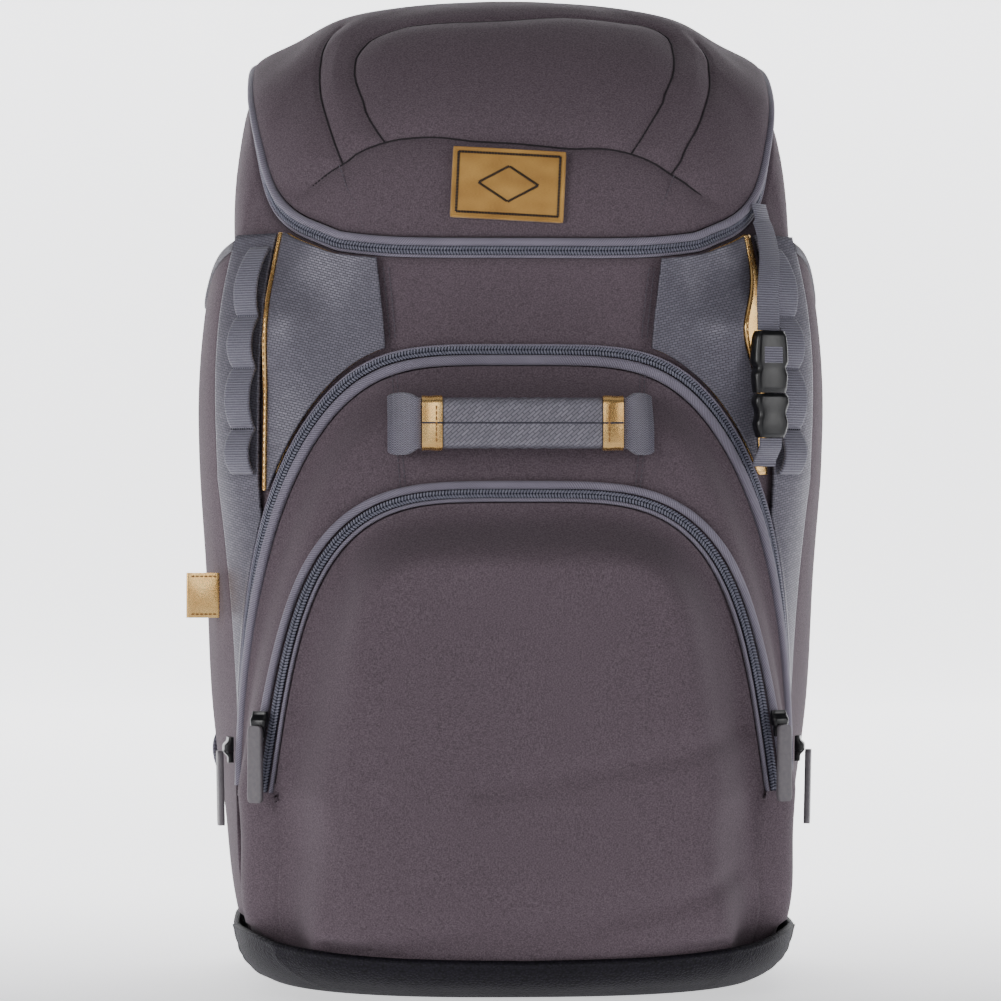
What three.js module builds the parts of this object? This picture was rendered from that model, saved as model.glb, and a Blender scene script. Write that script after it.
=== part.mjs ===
// A backpack for baseball players: a soft tube of padded cloth that stands in a moulded base tray and is
// closed by a domed, zipped lid. Two arched, moulded pockets lie one on the other on its front, two open
// side pockets wrap its front corners, and a bat sleeve stands on each side. Carrying handle, daisy
// chains, bat strap with its buckle, zip pulls, back pads and shoulder straps are pieces of their own.
// Millimetres, +Z up, front towards -Y, +X to the right of someone who looks at the front. The origin is
// on the flat underside of the base tray, under the middle of the main compartment.

import * as THREE from "three";

// Main compartment
const BAG_HEIGHT = 508; // floor to the top of the lid
const BODY_WIDTH = 284; // across the side panels, at half height
const FRONT_DEPTH = 92; // origin to the front panel
const BACK_DEPTH = 95; // origin to the back panel
const RIM_FRONT = 365.5; // height of the zip line over the front panel
const RIM_BACK = 469.5; // and over the back panel
const BODY_FOOT = 12; // lower edge of the body cloth, inside the tray
const CLOTH = 2.2; // one layer of lined cloth
const CLEAR = 0.8; // room between curved layers that lie on each other
const SEAM = 0.4; // room between pieces that are sewn edge to edge
const COLUMNS = 56; // facets round the body, a multiple of 8

// Base tray
const BOOT_WIDTH = 288;
const BOOT_FRONT = 152;
const BOOT_BACK = 101;
const BOOT_RIM = 28; // height of its rim at the sides
const BOOT_WALL = 3;

// Lid and the zip round it
const LID_WALL = 5;
const LID_ROUNDING = 2.15; // exponent of the dome's profile, 2 an ellipse
const LID_SHOULDER = 0.7; // less than that where the dome meets the zip at the sides and back
const LID_BACKSET = 15; // how far the middle of the dome lies behind the origin
const CHAIN_WIDTH = 5.2; // a coil zip's two rows of teeth
const WELT_WIDTH = 4.4; // the padded welt beside them
const ZIP_THICKNESS = 3;
const WELT_THICKNESS = 4.4;

// Pockets on the front. Each is an arch: its legs lean inwards and its shoulders are round. tuck is the
// share of its span that it loses between its zip ends and the tray.
const MIDDLE = { span: 163, lean: 0.29, foot: 100, top: 323, square: 4.2, tuck: 0.03, bulge: 20, slope: 32 };
const POCKET = { span: 124, lean: 0.15, foot: 100, top: 254.5, square: 4.2, tuck: 0.08, bulge: 32, slope: 34 };
const ZIP_END = 24; // over what height the cloth widens again below its zip's ends
const POCKET_FOOT = 17; // lower edge of the pocket cloth, inside the tray
const ARCH_STATIONS = 28;

// Side pockets, gussets and bat sleeves, by their distance from the front's middle round the body
const PANEL_SEAM = 66; // seam between the front panel and the side pocket
const SLIT = 126; // front edge of the gusset beside the side pocket's mouth
const POCKET_EDGE = { left: 126, right: 121 }; // the gold edge of each side pocket
const GUSSET_BACK = 157; // seam between gusset and bat sleeve
const GUSSET_TOP = 380;
const SLEEVE_BACK = 262; // seam between bat sleeve and back panel
const SLEEVE_BULGE = 18.5;
const SLEEVE_FOOT = 32;
const SLEEVE_MOUTH = 345; // lowest point of its mouth
const SLEEVE_PEAK = 372; // front corner of its mouth
const TRIM_WIDTH = 5;
const MOUTH_DEPTH = { left: 6, right: 13 }; // how far each side pocket's edge stands off the body
const MOUTH_OPEN = { left: 2, right: 13 }; // how far it is drawn away from the gusset
const MOUTH_LOW = 283;
const MOUTH_BEND = 4; // how sharply that edge bows out and back, 1 a half wave
const LINING = 1;
const PIPING = 2.6;

// Webbing and fittings
const WEBBING = 25;
const WEBBING_THICKNESS = 1.8;
const DAISY = { front: 131.5, back: 142.5, low: 258, top: 373, stand: 5 };
const DAISY_TACKS = [281, 312, 338]; // heights of the bar tacks that part it into loops
const GRIP = { height: 283, length: 78, width: 25, thickness: 9, gap: 14 };
const CUFF = { length: 10, width: 27, thickness: 10.5 };
const HANDLE_ROOT = { across: 66, width: 31 };
const PULL = { width: 8.4, length: 38, thickness: 3 };
const SLIDER = { width: 9, length: 13, thickness: 5 };
const PULL_LAP = 6; // how far a pull's top lies over its slider
const SLIDER_ABOVE_FOOT = { middle: 18, front: 34 }; // up from the lower ends of the pockets' zips
const PATCH = { across: -5.6, height: 402.8, width: 56, tall: 35.5, thickness: 1.4, turn: 3 };
const TAG = { round: 164, low: 185, tall: 23, length: 17, thickness: 2 };
const BAT_STRAP = { width: 13, top: 396, low: 262, topRound: 136, lowRound: 120, drawnIn: 0.4 };
const BUCKLE = { width: 20, thickness: 8, top: 330, socket: 31, plug: 22 };

// Back
const BACK_PAD = { inside: 8, outside: 82, low: 150, high: 436, thickness: 11 };
const LUMBAR = { outside: 95, low: 50, high: 138 };
const PAD_EDGE = 14; // width of a pad's rounded edge
const SHOULDER_STRAP = { top: 456, bottom: 192, inside: 49, outside: 100, width: 58, thickness: 9, bow: 22 };
const LADDER_LOCK = { width: 35, tall: 24, thickness: 5, bar: 4 };
const LOWER_ANCHOR = { round: 286, height: 72 };
// How the lower webbing hangs: drops below the lock, steps aside, distances off the anchor
const LOWER_HANG = { fall: 10, low: 32, aside: 10, bow: 30, bowAbove: 38, close: 4, closeAbove: 6 };
const HAUL_LOOP = { half: 17, height: 456, stand: 24, width: 9 };

// Rows of the body's form. up: share of the rim's height; width, front, back: shares of the named sizes;
// square: exponent of the outline, 2 an ellipse and more a squarer box.
const BODY_ROWS = [
  // up, width, front, back, square
  [0.0, 0.9, 0.93, 0.9, 3.0],
  [0.07, 0.975, 0.98, 0.97, 3.2],
  [0.2, 0.99, 1.0, 1.0, 4.4],
  [0.6, 1.0, 1.0, 1.0, 4.6],
  [0.8, 1.02, 1.0, 1.0, 4.2],
  [0.9, 1.015, 1.03, 1.0, 3.6],
  [0.96, 0.99, 1.08, 0.99, 3.1],
  [1.0, 0.955, 1.13, 0.97, 2.8],
];
// Rows of the zip line's climb from the front panel to the back. turn: degrees round from the front's
// middle; rise: share of the way from RIM_FRONT to RIM_BACK.
const RIM_ROWS = [
  [0, 0],
  [30, 0.005],
  [44.5, 0.037],
  [50, 0.08],
  [56, 0.135],
  [61.5, 0.2125],
  [66, 0.309],
  [69.5, 0.418],
  [73, 0.541],
  [79, 0.692],
  [86, 0.803],
  [95, 0.905],
  [106, 0.98],
  [135, 1],
  [180, 1],
];
// Rows of the base tray. up: share of the rim's height; width, front, back: shares; square: exponent.
const BOOT_ROWS = [
  [0, 0.89, 0.815, 0.88, 2.6],
  [0.12, 0.93, 0.86, 0.92, 2.7],
  [0.4, 0.972, 0.94, 0.965, 3.0],
  [0.7, 0.99, 0.98, 0.99, 3.3],
  [1, 1, 1, 1, 3.4],
];
// Rows of the tray's rim: turn in degrees from the front's middle, height as a share of BOOT_RIM.
const BOOT_RIM_ROWS = [
  [0, 0.69],
  [25, 0.75],
  [42, 0.88],
  [55, 1.03],
  [75, 1],
  [120, 1],
  [180, 1.05],
];
// Rows of a sleeve's bulge: across, a share of the way from its front edge to its back seam, and stand,
// a share of SLEEVE_BULGE. Then the same up its height.
const SLEEVE_ACROSS = [
  [0, 0],
  [0.08, 0.16],
  [0.18, 0.42],
  [0.3, 0.72],
  [0.45, 0.97],
  [0.55, 1],
  [0.75, 0.75],
  [0.9, 0.3],
  [1, 0],
];
const SLEEVE_UP = [
  [0, 0.05],
  [0.12, 0.3],
  [0.3, 0.6],
  [0.55, 0.8],
  [0.8, 0.93],
  [0.9, 0.88],
  [1, 0.66],
  [1.1, 0.3],
];
// Rows of a sleeve's mouth: across as above, and drop, in shares of its front edge's height over the mouth.
const MOUTH_ROWS = [
  [0, 1],
  [0.2, 0.6],
  [0.4, 0],
  [0.75, 0.25],
  [1, 0.9],
];

// Value of a table's column at a place along its first column, on a smooth curve through the rows.
function rowAt(rows, at, column = 1) {
  const last = rows.length - 1;
  if (at <= rows[0][0]) return rows[0][column];
  if (at >= rows[last][0]) return rows[last][column];
  const low = rows.findIndex((row) => row[0] > at) - 1;
  const slope = (k) => {
    const before = rows[Math.max(k - 1, 0)];
    const after = rows[Math.min(k + 1, last)];
    return (after[column] - before[column]) / (after[0] - before[0]);
  };
  const width = rows[low + 1][0] - rows[low][0];
  const t = (at - rows[low][0]) / width;
  return (
    rows[low][column] * (1 + 2 * t) * (1 - t) ** 2 +
    rows[low + 1][column] * t * t * (3 - 2 * t) +
    slope(low) * width * t * (1 - t) ** 2 -
    slope(low + 1) * width * t * t * (1 - t)
  );
}

// Eases from 0 to 1 while value goes from 0 to width.
const rise = (value, width) => THREE.MathUtils.smootherstep(value, 0, width);

// Radius of a squared ellipse in the direction turn, measured from the front's middle.
function reachAt(turn, wide, front, back, square) {
  const deep = Math.cos(turn) > 0 ? front : back;
  return (Math.abs(Math.sin(turn) / wide) ** square + Math.abs(Math.cos(turn) / deep) ** square) ** (-1 / square);
}

// The body's outline at half height, from the back's middle by the left side and the front to the back.
class BagOutline extends THREE.Curve {
  getPoint(t, target = new THREE.Vector3()) {
    const turn = Math.PI * (2 * t - 1);
    const reach = reachAt(turn, BODY_WIDTH / 2, FRONT_DEPTH, BACK_DEPTH, 4.6);
    return target.set(reach * Math.sin(turn), -reach * Math.cos(turn), 0);
  }
}
const outline = new BagOutline();
outline.arcLengthDivisions = 720;
const HALF_ROUND = outline.getLength() / 2;

// Direction of a place that lies round millimetres along the outline from the front's middle.
function turnOf(round) {
  const share = 0.5 + round / (2 * HALF_ROUND);
  return Math.PI * (2 * outline.getUtoTmapping(share - Math.floor(share)) - 1);
}

function rimHeight(turn) {
  const degrees = THREE.MathUtils.radToDeg(Math.abs(turn));
  return THREE.MathUtils.lerp(RIM_FRONT, RIM_BACK, rowAt(RIM_ROWS, degrees));
}

// A point of the body cloth's outside: round along the outline, at a height.
function bodyPoint(round, height) {
  const turn = turnOf(round);
  const up = height / rimHeight(turn);
  const reach = reachAt(
    turn,
    (BODY_WIDTH / 2) * rowAt(BODY_ROWS, up, 1),
    FRONT_DEPTH * rowAt(BODY_ROWS, up, 2),
    BACK_DEPTH * rowAt(BODY_ROWS, up, 3),
    rowAt(BODY_ROWS, up, 4),
  );
  return new THREE.Vector3(reach * Math.sin(turn), -reach * Math.cos(turn), height);
}

// Level direction straight out of the body there.
function outwardAt(round, height) {
  const along = bodyPoint(round + 1, height).sub(bodyPoint(round - 1, height));
  return new THREE.Vector3(along.y, -along.x, 0).normalize();
}

// The same place, standing off the body by lift.
const lifted = (round, height, lift) =>
  bodyPoint(round, height).addScaledVector(outwardAt(round, height), lift);

// A point on the tray's outside, wall millimetres further in. up is a share of the rim's height.
function bootPoint(turn, up, wall = 0) {
  const rim = BOOT_RIM * rowAt(BOOT_RIM_ROWS, THREE.MathUtils.radToDeg(Math.abs(turn)));
  const reach = reachAt(
    turn,
    (BOOT_WIDTH / 2) * rowAt(BOOT_ROWS, up, 1) - wall,
    BOOT_FRONT * rowAt(BOOT_ROWS, up, 2) - wall,
    BOOT_BACK * rowAt(BOOT_ROWS, up, 3) - wall,
    rowAt(BOOT_ROWS, up, 4),
  );
  return new THREE.Vector3(reach * Math.sin(turn), -reach * Math.cos(turn), Math.max(up * rim, wall));
}

// How far a place on the body may stand off and stay inside the tray. Above the rim there is more room.
function trayRoom(round, height) {
  const start = bodyPoint(round, height);
  const outward = outwardAt(round, height);
  const inTray = Math.min(height, BOOT_RIM);
  let [inside, outside] = [-40, 120];
  for (let halving = 0; halving < 16; halving++) {
    const lift = (inside + outside) / 2;
    const at = start.clone().addScaledVector(outward, lift);
    const turn = Math.atan2(at.x, -at.y);
    const rim = BOOT_RIM * rowAt(BOOT_RIM_ROWS, THREE.MathUtils.radToDeg(Math.abs(turn)));
    const wall = bootPoint(turn, Math.min(1, inTray / rim), BOOT_WALL);
    if (Math.hypot(at.x, at.y) < Math.hypot(wall.x, wall.y)) inside = lift;
    else outside = lift;
  }
  return inside - 2 * CLEAR + 0.9 * Math.max(0, height - BOOT_RIM);
}

// Place of a station on an arched pocket's border, inset millimetres inside it. share runs from the left
// leg's foot over the top to the right leg's.
function archPlace(arch, share, inset) {
  const turn = Math.PI * (1 - share);
  const soften = (value) => Math.sign(value) * Math.abs(value) ** (2 / arch.square);
  const up = soften(Math.sin(turn));
  const across = share === 0 || share === 1 ? Math.sign(share - 0.5) : soften(Math.cos(turn));
  return {
    round: across * (arch.span - inset) * (1 - arch.lean * up),
    height: arch.foot + (arch.top - inset - arch.foot) * up,
    across,
    up,
  };
}

// Half the width of an arched pocket at a height, on its legs below the zip ends too.
function archWidth(arch, height, inset = 0) {
  const up = Math.max(0, (height - arch.foot) / (arch.top - inset - arch.foot));
  const tuck = arch.tuck * Math.max(0, (arch.foot - height) / arch.foot);
  return (arch.span - inset) * (1 - arch.lean * up) * (1 - tuck);
}

// Distance of a place inside an arched pocket's border, negative outside it.
function insideArch(arch, round, height) {
  const up = Math.max(0, (height - arch.foot) / (arch.top - arch.foot));
  const wide = archWidth(arch, height);
  if (wide <= 1) return -arch.span;
  const share = Math.abs(round) / wide;
  const gauge = (share ** arch.square + up ** arch.square) ** (1 / arch.square);
  if (gauge < 0.05) return arch.span;
  const acrossSlope = (share / gauge) ** (arch.square - 1) / wide;
  const upSlope = (up / gauge) ** (arch.square - 1) / (arch.top - arch.foot);
  return (1 - gauge) / Math.hypot(acrossSlope, upSlope);
}

const BAND = CHAIN_WIDTH + WELT_WIDTH + 2 * SEAM;

// How much of the zip's band a pocket's cloth leaves free: all of it down to the zip's ends, none below.
const bandAt = (arch, height) => BAND * (1 - rise(arch.foot - ZIP_END / 2 - height, ZIP_END));

// How far the outside of the middle pocket's cloth stands off the body.
function middleLift(round, height) {
  const inside = insideArch(MIDDLE, round, height) - bandAt(MIDDLE, height);
  const own = CLEAR + CLOTH + MIDDLE.bulge * rise(inside, MIDDLE.slope);
  return Math.min(own, trayRoom(round, height) - CLOTH - 2 * CLEAR);
}

// And of the front pocket's, which lies on the middle pocket.
function frontLift(round, height) {
  const inside = insideArch(POCKET, round, height) - bandAt(POCKET, height);
  const own = POCKET.bulge * rise(inside, POCKET.slope);
  const base = middleLift(round, height) + CLEAR + CLOTH;
  return Math.min(base + own, Math.max(trayRoom(round, height), base));
}

// Front edge of a gusset or sleeve: beside the slit, or further back where the middle pocket is wider.
function sleeveFront(height, least) {
  const up = Math.min(1, Math.max(0, (height - MIDDLE.foot) / (MIDDLE.top - MIDDLE.foot)));
  const shoulder = (1 - up ** MIDDLE.square) ** (1 / MIDDLE.square);
  return Math.max(least, archWidth(MIDDLE, height) * shoulder + 4 * CLEAR);
}

// How far the outside of a gusset's or sleeve's cloth stands off the body.
function sleeveLift(round, height) {
  const front = sleeveFront(height, SLIT);
  const across = (Math.abs(round) - front) / (SLEEVE_BACK - front);
  const up = (height - SLEEVE_FOOT) / (SLEEVE_MOUTH - SLEEVE_FOOT);
  return CLEAR + CLOTH + SLEEVE_BULGE * rowAt(SLEEVE_ACROSS, across) * rowAt(SLEEVE_UP, up);
}

const group = new THREE.Group();
const X = new THREE.Vector3(1, 0, 0);
const Y = new THREE.Vector3(0, 1, 0);
const Z = new THREE.Vector3(0, 0, 1);
const CLOTH_LOOK = { color: 0x5b515a, roughness: 0.9, metalness: 0 };
const CARBON_LOOK = { color: 0x6c6a73, roughness: 0.5, metalness: 0 };
const WEBBING_LOOK = { color: 0x6d6a78, roughness: 0.85, metalness: 0 };
const WELT_LOOK = { color: 0x645e6b, roughness: 0.85, metalness: 0 };
const ZIP_LOOK = { color: 0x2c2d3c, roughness: 0.5, metalness: 0 };
const GOLD_LOOK = { color: 0xc9a368, roughness: 0.35, metalness: 0.6 };
const BOOT_LOOK = { color: 0x201d26, roughness: 0.6, metalness: 0 };
const PLASTIC_LOOK = { color: 0x17171b, roughness: 0.35, metalness: 0 };
const PULL_LOOK = { color: 0x65605f, roughness: 0.6, metalness: 0 };
const MESH_LOOK = { color: 0x2b2a30, roughness: 0.95, metalness: 0 };

function add(name, geometry, look) {
  const mesh = new THREE.Mesh(geometry, new THREE.MeshStandardMaterial(look));
  mesh.name = name;
  group.add(mesh);
  return mesh;
}

// A closed mesh from points and faces, turned so that its faces point out.
function solidFrom(points, faces) {
  let volume = 0;
  for (let f = 0; f < faces.length; f += 3) {
    const [a, b, c] = faces.slice(f, f + 3).map((index) => points[index]);
    volume += a.dot(new THREE.Vector3().crossVectors(b, c));
  }
  const geometry = new THREE.BufferGeometry().setFromPoints(points);
  geometry.setIndex(volume < 0 ? faces.slice().reverse() : faces);
  geometry.computeVertexNormals();
  return geometry;
}

const quad = (faces, a, b, c, d) => faces.push(a, b, c, a, c, d);

// A wall between two skins, each a function of a column and a row. A ring's last column is its first.
function wallFrom(outer, inner, columns, rows, ring = false) {
  const stride = ring ? columns : columns + 1;
  const points = [];
  for (const skin of [outer, inner])
    for (let row = 0; row <= rows; row++)
      for (let column = 0; column < stride; column++) points.push(skin(column, row));
  const at = (side, column, row) => (side * (rows + 1) + row) * stride + (column % stride);
  const faces = [];
  for (let column = 0; column < columns; column++) {
    const next = column + 1;
    for (let row = 0; row < rows; row++) {
      quad(faces, at(0, column, row), at(0, next, row), at(0, next, row + 1), at(0, column, row + 1));
      quad(faces, at(1, column, row + 1), at(1, next, row + 1), at(1, next, row), at(1, column, row));
    }
    quad(faces, at(0, next, 0), at(0, column, 0), at(1, column, 0), at(1, next, 0));
    quad(faces, at(0, column, rows), at(0, next, rows), at(1, next, rows), at(1, column, rows));
  }
  for (let row = 0; row < rows && !ring; row++) {
    quad(faces, at(0, 0, row), at(0, 0, row + 1), at(1, 0, row + 1), at(1, 0, row));
    quad(faces, at(0, columns, row + 1), at(0, columns, row), at(1, columns, row), at(1, columns, row + 1));
  }
  return solidFrom(points, faces);
}

// A rail: one closed section, in across and up, carried through stations of a point and two directions.
function railFrom(stations, section) {
  const points = stations.flatMap(({ at, across, up }) =>
    section.map(([a, u]) => at.clone().addScaledVector(across, a).addScaledVector(up, u)),
  );
  const sides = section.length;
  const faces = [];
  const end = (stations.length - 1) * sides;
  for (let here = 0; here < end; here += sides)
    for (let k = 0; k < sides; k++) {
      const k1 = (k + 1) % sides;
      quad(faces, here + k, here + k1, here + sides + k1, here + sides + k);
    }
  const flat = section.map(([a, u]) => new THREE.Vector2(a, u));
  const clockwise = THREE.ShapeUtils.isClockWise(flat);
  for (const [a, b, c] of THREE.ShapeUtils.triangulateShape(flat, [])) {
    faces.push(...(clockwise ? [a, b, c] : [a, c, b]));
    faces.push(...(clockwise ? [end + a, end + c, end + b] : [end + a, end + b, end + c]));
  }
  return solidFrom(points, faces);
}

const rectangle = (a0, a1, u0, u1) => [
  [a0, u0],
  [a1, u0],
  [a1, u1],
  [a0, u1],
];

// A domed grid's place: the ring it lies on, from 0 at the middle to 1, and its distance round the body.
function gridPlace(column, row, size) {
  const [a, b] = [column - size / 2, row - size / 2];
  const ring = Math.max(Math.abs(a), Math.abs(b));
  let steps = a;
  if (b === -ring) steps = a;
  else if (a === ring) steps = 2 * ring + b;
  else if (b === ring) steps = 4 * ring - a;
  else steps = -2 * ring - b;
  return { ring: ring / (size / 2), round: ring ? (steps / (4 * ring)) * HALF_ROUND : 0 };
}

// Frame of the zip line: a point on the body's upper edge, up in the lid's direction, and straight out.
function rimFrame(round) {
  const edge = (place) => bodyPoint(place, rimHeight(turnOf(place)));
  const along = edge(round + 1).sub(edge(round - 1)).normalize();
  const out = new THREE.Vector3(along.y, -along.x, 0).normalize();
  return { at: edge(round), along, out, up: out.clone().cross(along).normalize() };
}

function rimPoint(round, up, out) {
  const frame = rimFrame(round);
  return frame.at.addScaledVector(frame.up, up).addScaledVector(frame.out, out);
}

const roundAt = (column) => (column / COLUMNS) * 2 * HALF_ROUND;

// Main compartment: a tube of cloth, open at both ends
const BODY_LEVELS = [0, 0.05, 0.16, 0.6, 0.8, 0.9, 0.96, 1];
function bodyLevel(round, level) {
  return THREE.MathUtils.lerp(BODY_FOOT, rimHeight(turnOf(round)), BODY_LEVELS[level]);
}
const bodySkin = (lift) => (column, row) =>
  lifted(roundAt(column), bodyLevel(roundAt(column), row), lift);
add(
  "body_shell",
  wallFrom(bodySkin(0), bodySkin(-CLOTH), COLUMNS, BODY_LEVELS.length - 1, true),
  CLOTH_LOOK,
);

// Base tray: a flat floor whose edge turns up into a rim
const TRAY_GRID = COLUMNS / 4;
const traySkin = (wall) => (column, row) => {
  const { ring, round } = gridPlace(TRAY_GRID - column, row, TRAY_GRID);
  const steps = Math.round((ring * TRAY_GRID) / 2);
  const turned = BOOT_ROWS.length - 1;
  const flat = TRAY_GRID / 2 - turned;
  if (steps >= flat) return bootPoint(turnOf(round), BOOT_ROWS[steps - flat][0], wall);
  return bootPoint(turnOf(round), 0, wall).multiply(new THREE.Vector3(steps / flat, steps / flat, 1));
};
add("base_boot", wallFrom(traySkin(0), traySkin(BOOT_WALL), TRAY_GRID, TRAY_GRID), BOOT_LOOK);

// Lid: a padded dome, whose shoulders slope more at the sides and back than over the front
function lidPoint(round, ring, wall) {
  const edge = rimPoint(round, BAND + SEAM, -1 - wall);
  const beside = rise(THREE.MathUtils.radToDeg(Math.abs(turnOf(round))) - 50, 45);
  const rounding = LID_ROUNDING - LID_SHOULDER * beside * rise(ring - 0.3, 0.5);
  const spread = Math.sin((ring * Math.PI) / 2) ** (2 / rounding);
  const rounded = Math.cos((ring * Math.PI) / 2) ** (2 / rounding);
  const top = BAG_HEIGHT - wall;
  return new THREE.Vector3(
    edge.x * spread,
    THREE.MathUtils.lerp(LID_BACKSET, edge.y, spread),
    edge.z + (top - edge.z) * (ring === 1 ? 0 : rounded),
  );
}
const lidSkin = (wall) => (column, row) => {
  const { ring, round } = gridPlace(column, row, TRAY_GRID);
  return lidPoint(round, ring, wall);
};
add("lid_shell", wallFrom(lidSkin(0), lidSkin(LID_WALL), TRAY_GRID, TRAY_GRID), CLOTH_LOOK);

const rimBand = (low, high, inside, outside) =>
  wallFrom(
    (column, row) => rimPoint(roundAt(column), row ? high : low, outside),
    (column, row) => rimPoint(roundAt(column), row ? high : low, inside),
    COLUMNS,
    1,
    true,
  );
add("lid_zip", rimBand(SEAM, SEAM + CHAIN_WIDTH, -CLOTH, ZIP_THICKNESS - CLOTH), ZIP_LOOK);
add(
  "lid_welt",
  rimBand(2 * SEAM + CHAIN_WIDTH, BAND, -CLOTH, WELT_THICKNESS - CLOTH),
  WELT_LOOK,
);

// Arched pockets: a moulded front, and its zip and welt round the border
const ARCH_LEVELS = [0, 0.08, 0.24, 0.42, 0.6, 0.75, 0.86, 0.94, 1];
const archSkin = (arch, liftAt, under) => (column, row) => {
  const { height: top, across } = archPlace(arch, column / ARCH_STATIONS, BAND + SEAM);
  const height = THREE.MathUtils.lerp(POCKET_FOOT, top, ARCH_LEVELS[row]);
  const round = across * archWidth(arch, height, bandAt(arch, height) + SEAM);
  return lifted(round, height, liftAt(round, height) - under);
};
function archBand(arch, baseAt, from, to, thickness) {
  const skin = (lift) => (column, row) => {
    const place = archPlace(arch, column / ARCH_STATIONS, row ? from : to);
    return lifted(place.round, place.height, baseAt(place.round, place.height) + lift);
  };
  return wallFrom(skin(CLEAR + thickness), skin(CLEAR), ARCH_STATIONS, 1);
}
const pocketRows = ARCH_LEVELS.length - 1;
for (const [name, arch, liftAt, baseAt] of [
  ["middle", MIDDLE, middleLift, () => 0],
  ["front", POCKET, frontLift, middleLift],
]) {
  add(
    name + "_pocket",
    wallFrom(archSkin(arch, liftAt, 0), archSkin(arch, liftAt, CLOTH), ARCH_STATIONS, pocketRows),
    CLOTH_LOOK,
  );
  add(name + "_zip", archBand(arch, baseAt, 0, CHAIN_WIDTH - SEAM, ZIP_THICKNESS), ZIP_LOOK);
  add(
    name + "_welt",
    archBand(arch, baseAt, CHAIN_WIDTH + 2 * SEAM, BAND - SEAM / 2, WELT_THICKNESS),
    WELT_LOOK,
  );
}

// Side pockets, one on each front corner: a carbon-look front whose back edge stands open, gold piping on
// that edge, a gold lining behind it, and a gusset that carries on round the corner
const onSide = (side, skin) => (column, row) => {
  const { round, height, lift } = skin(column, row);
  return lifted(side * round, height, lift);
};

// Height of the middle pocket's border over a place round the body.
function borderHeight(round) {
  let [inside, outside] = [MIDDLE.foot, MIDDLE.top];
  for (let halving = 0; halving < 16; halving++) {
    const height = (inside + outside) / 2;
    if (insideArch(MIDDLE, round, height) > 0) inside = height;
    else outside = height;
  }
  return inside + 4 * CLEAR;
}

const panelTop = (round) => Math.min(GUSSET_TOP, rimHeight(turnOf(round)) - CLEAR);
const POCKET_COLUMNS = 7;
const POCKET_ROWS = 8;
const POCKET_BASE = CLEAR + LINING + SEAM;
const mouthShare = (height) => {
  const share = THREE.MathUtils.clamp((height - MOUTH_LOW) / (panelTop(SLIT) - MOUTH_LOW), 0, 1);
  return Math.sin(Math.PI * share) ** MOUTH_BEND;
};

// Place of the side pocket's front over its share from the panel seam to the open edge.
function sidePocketPlace(name, across, up) {
  const start = THREE.MathUtils.lerp(PANEL_SEAM, POCKET_EDGE[name], across);
  const height = THREE.MathUtils.lerp(borderHeight(start), panelTop(start), up);
  const open = mouthShare(height) * across ** 2;
  const stand = MOUTH_DEPTH[name] * mouthShare(height) * rise(across - 0.35, 0.65);
  return { round: start - MOUTH_OPEN[name] * open, height, stand };
}

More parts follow.
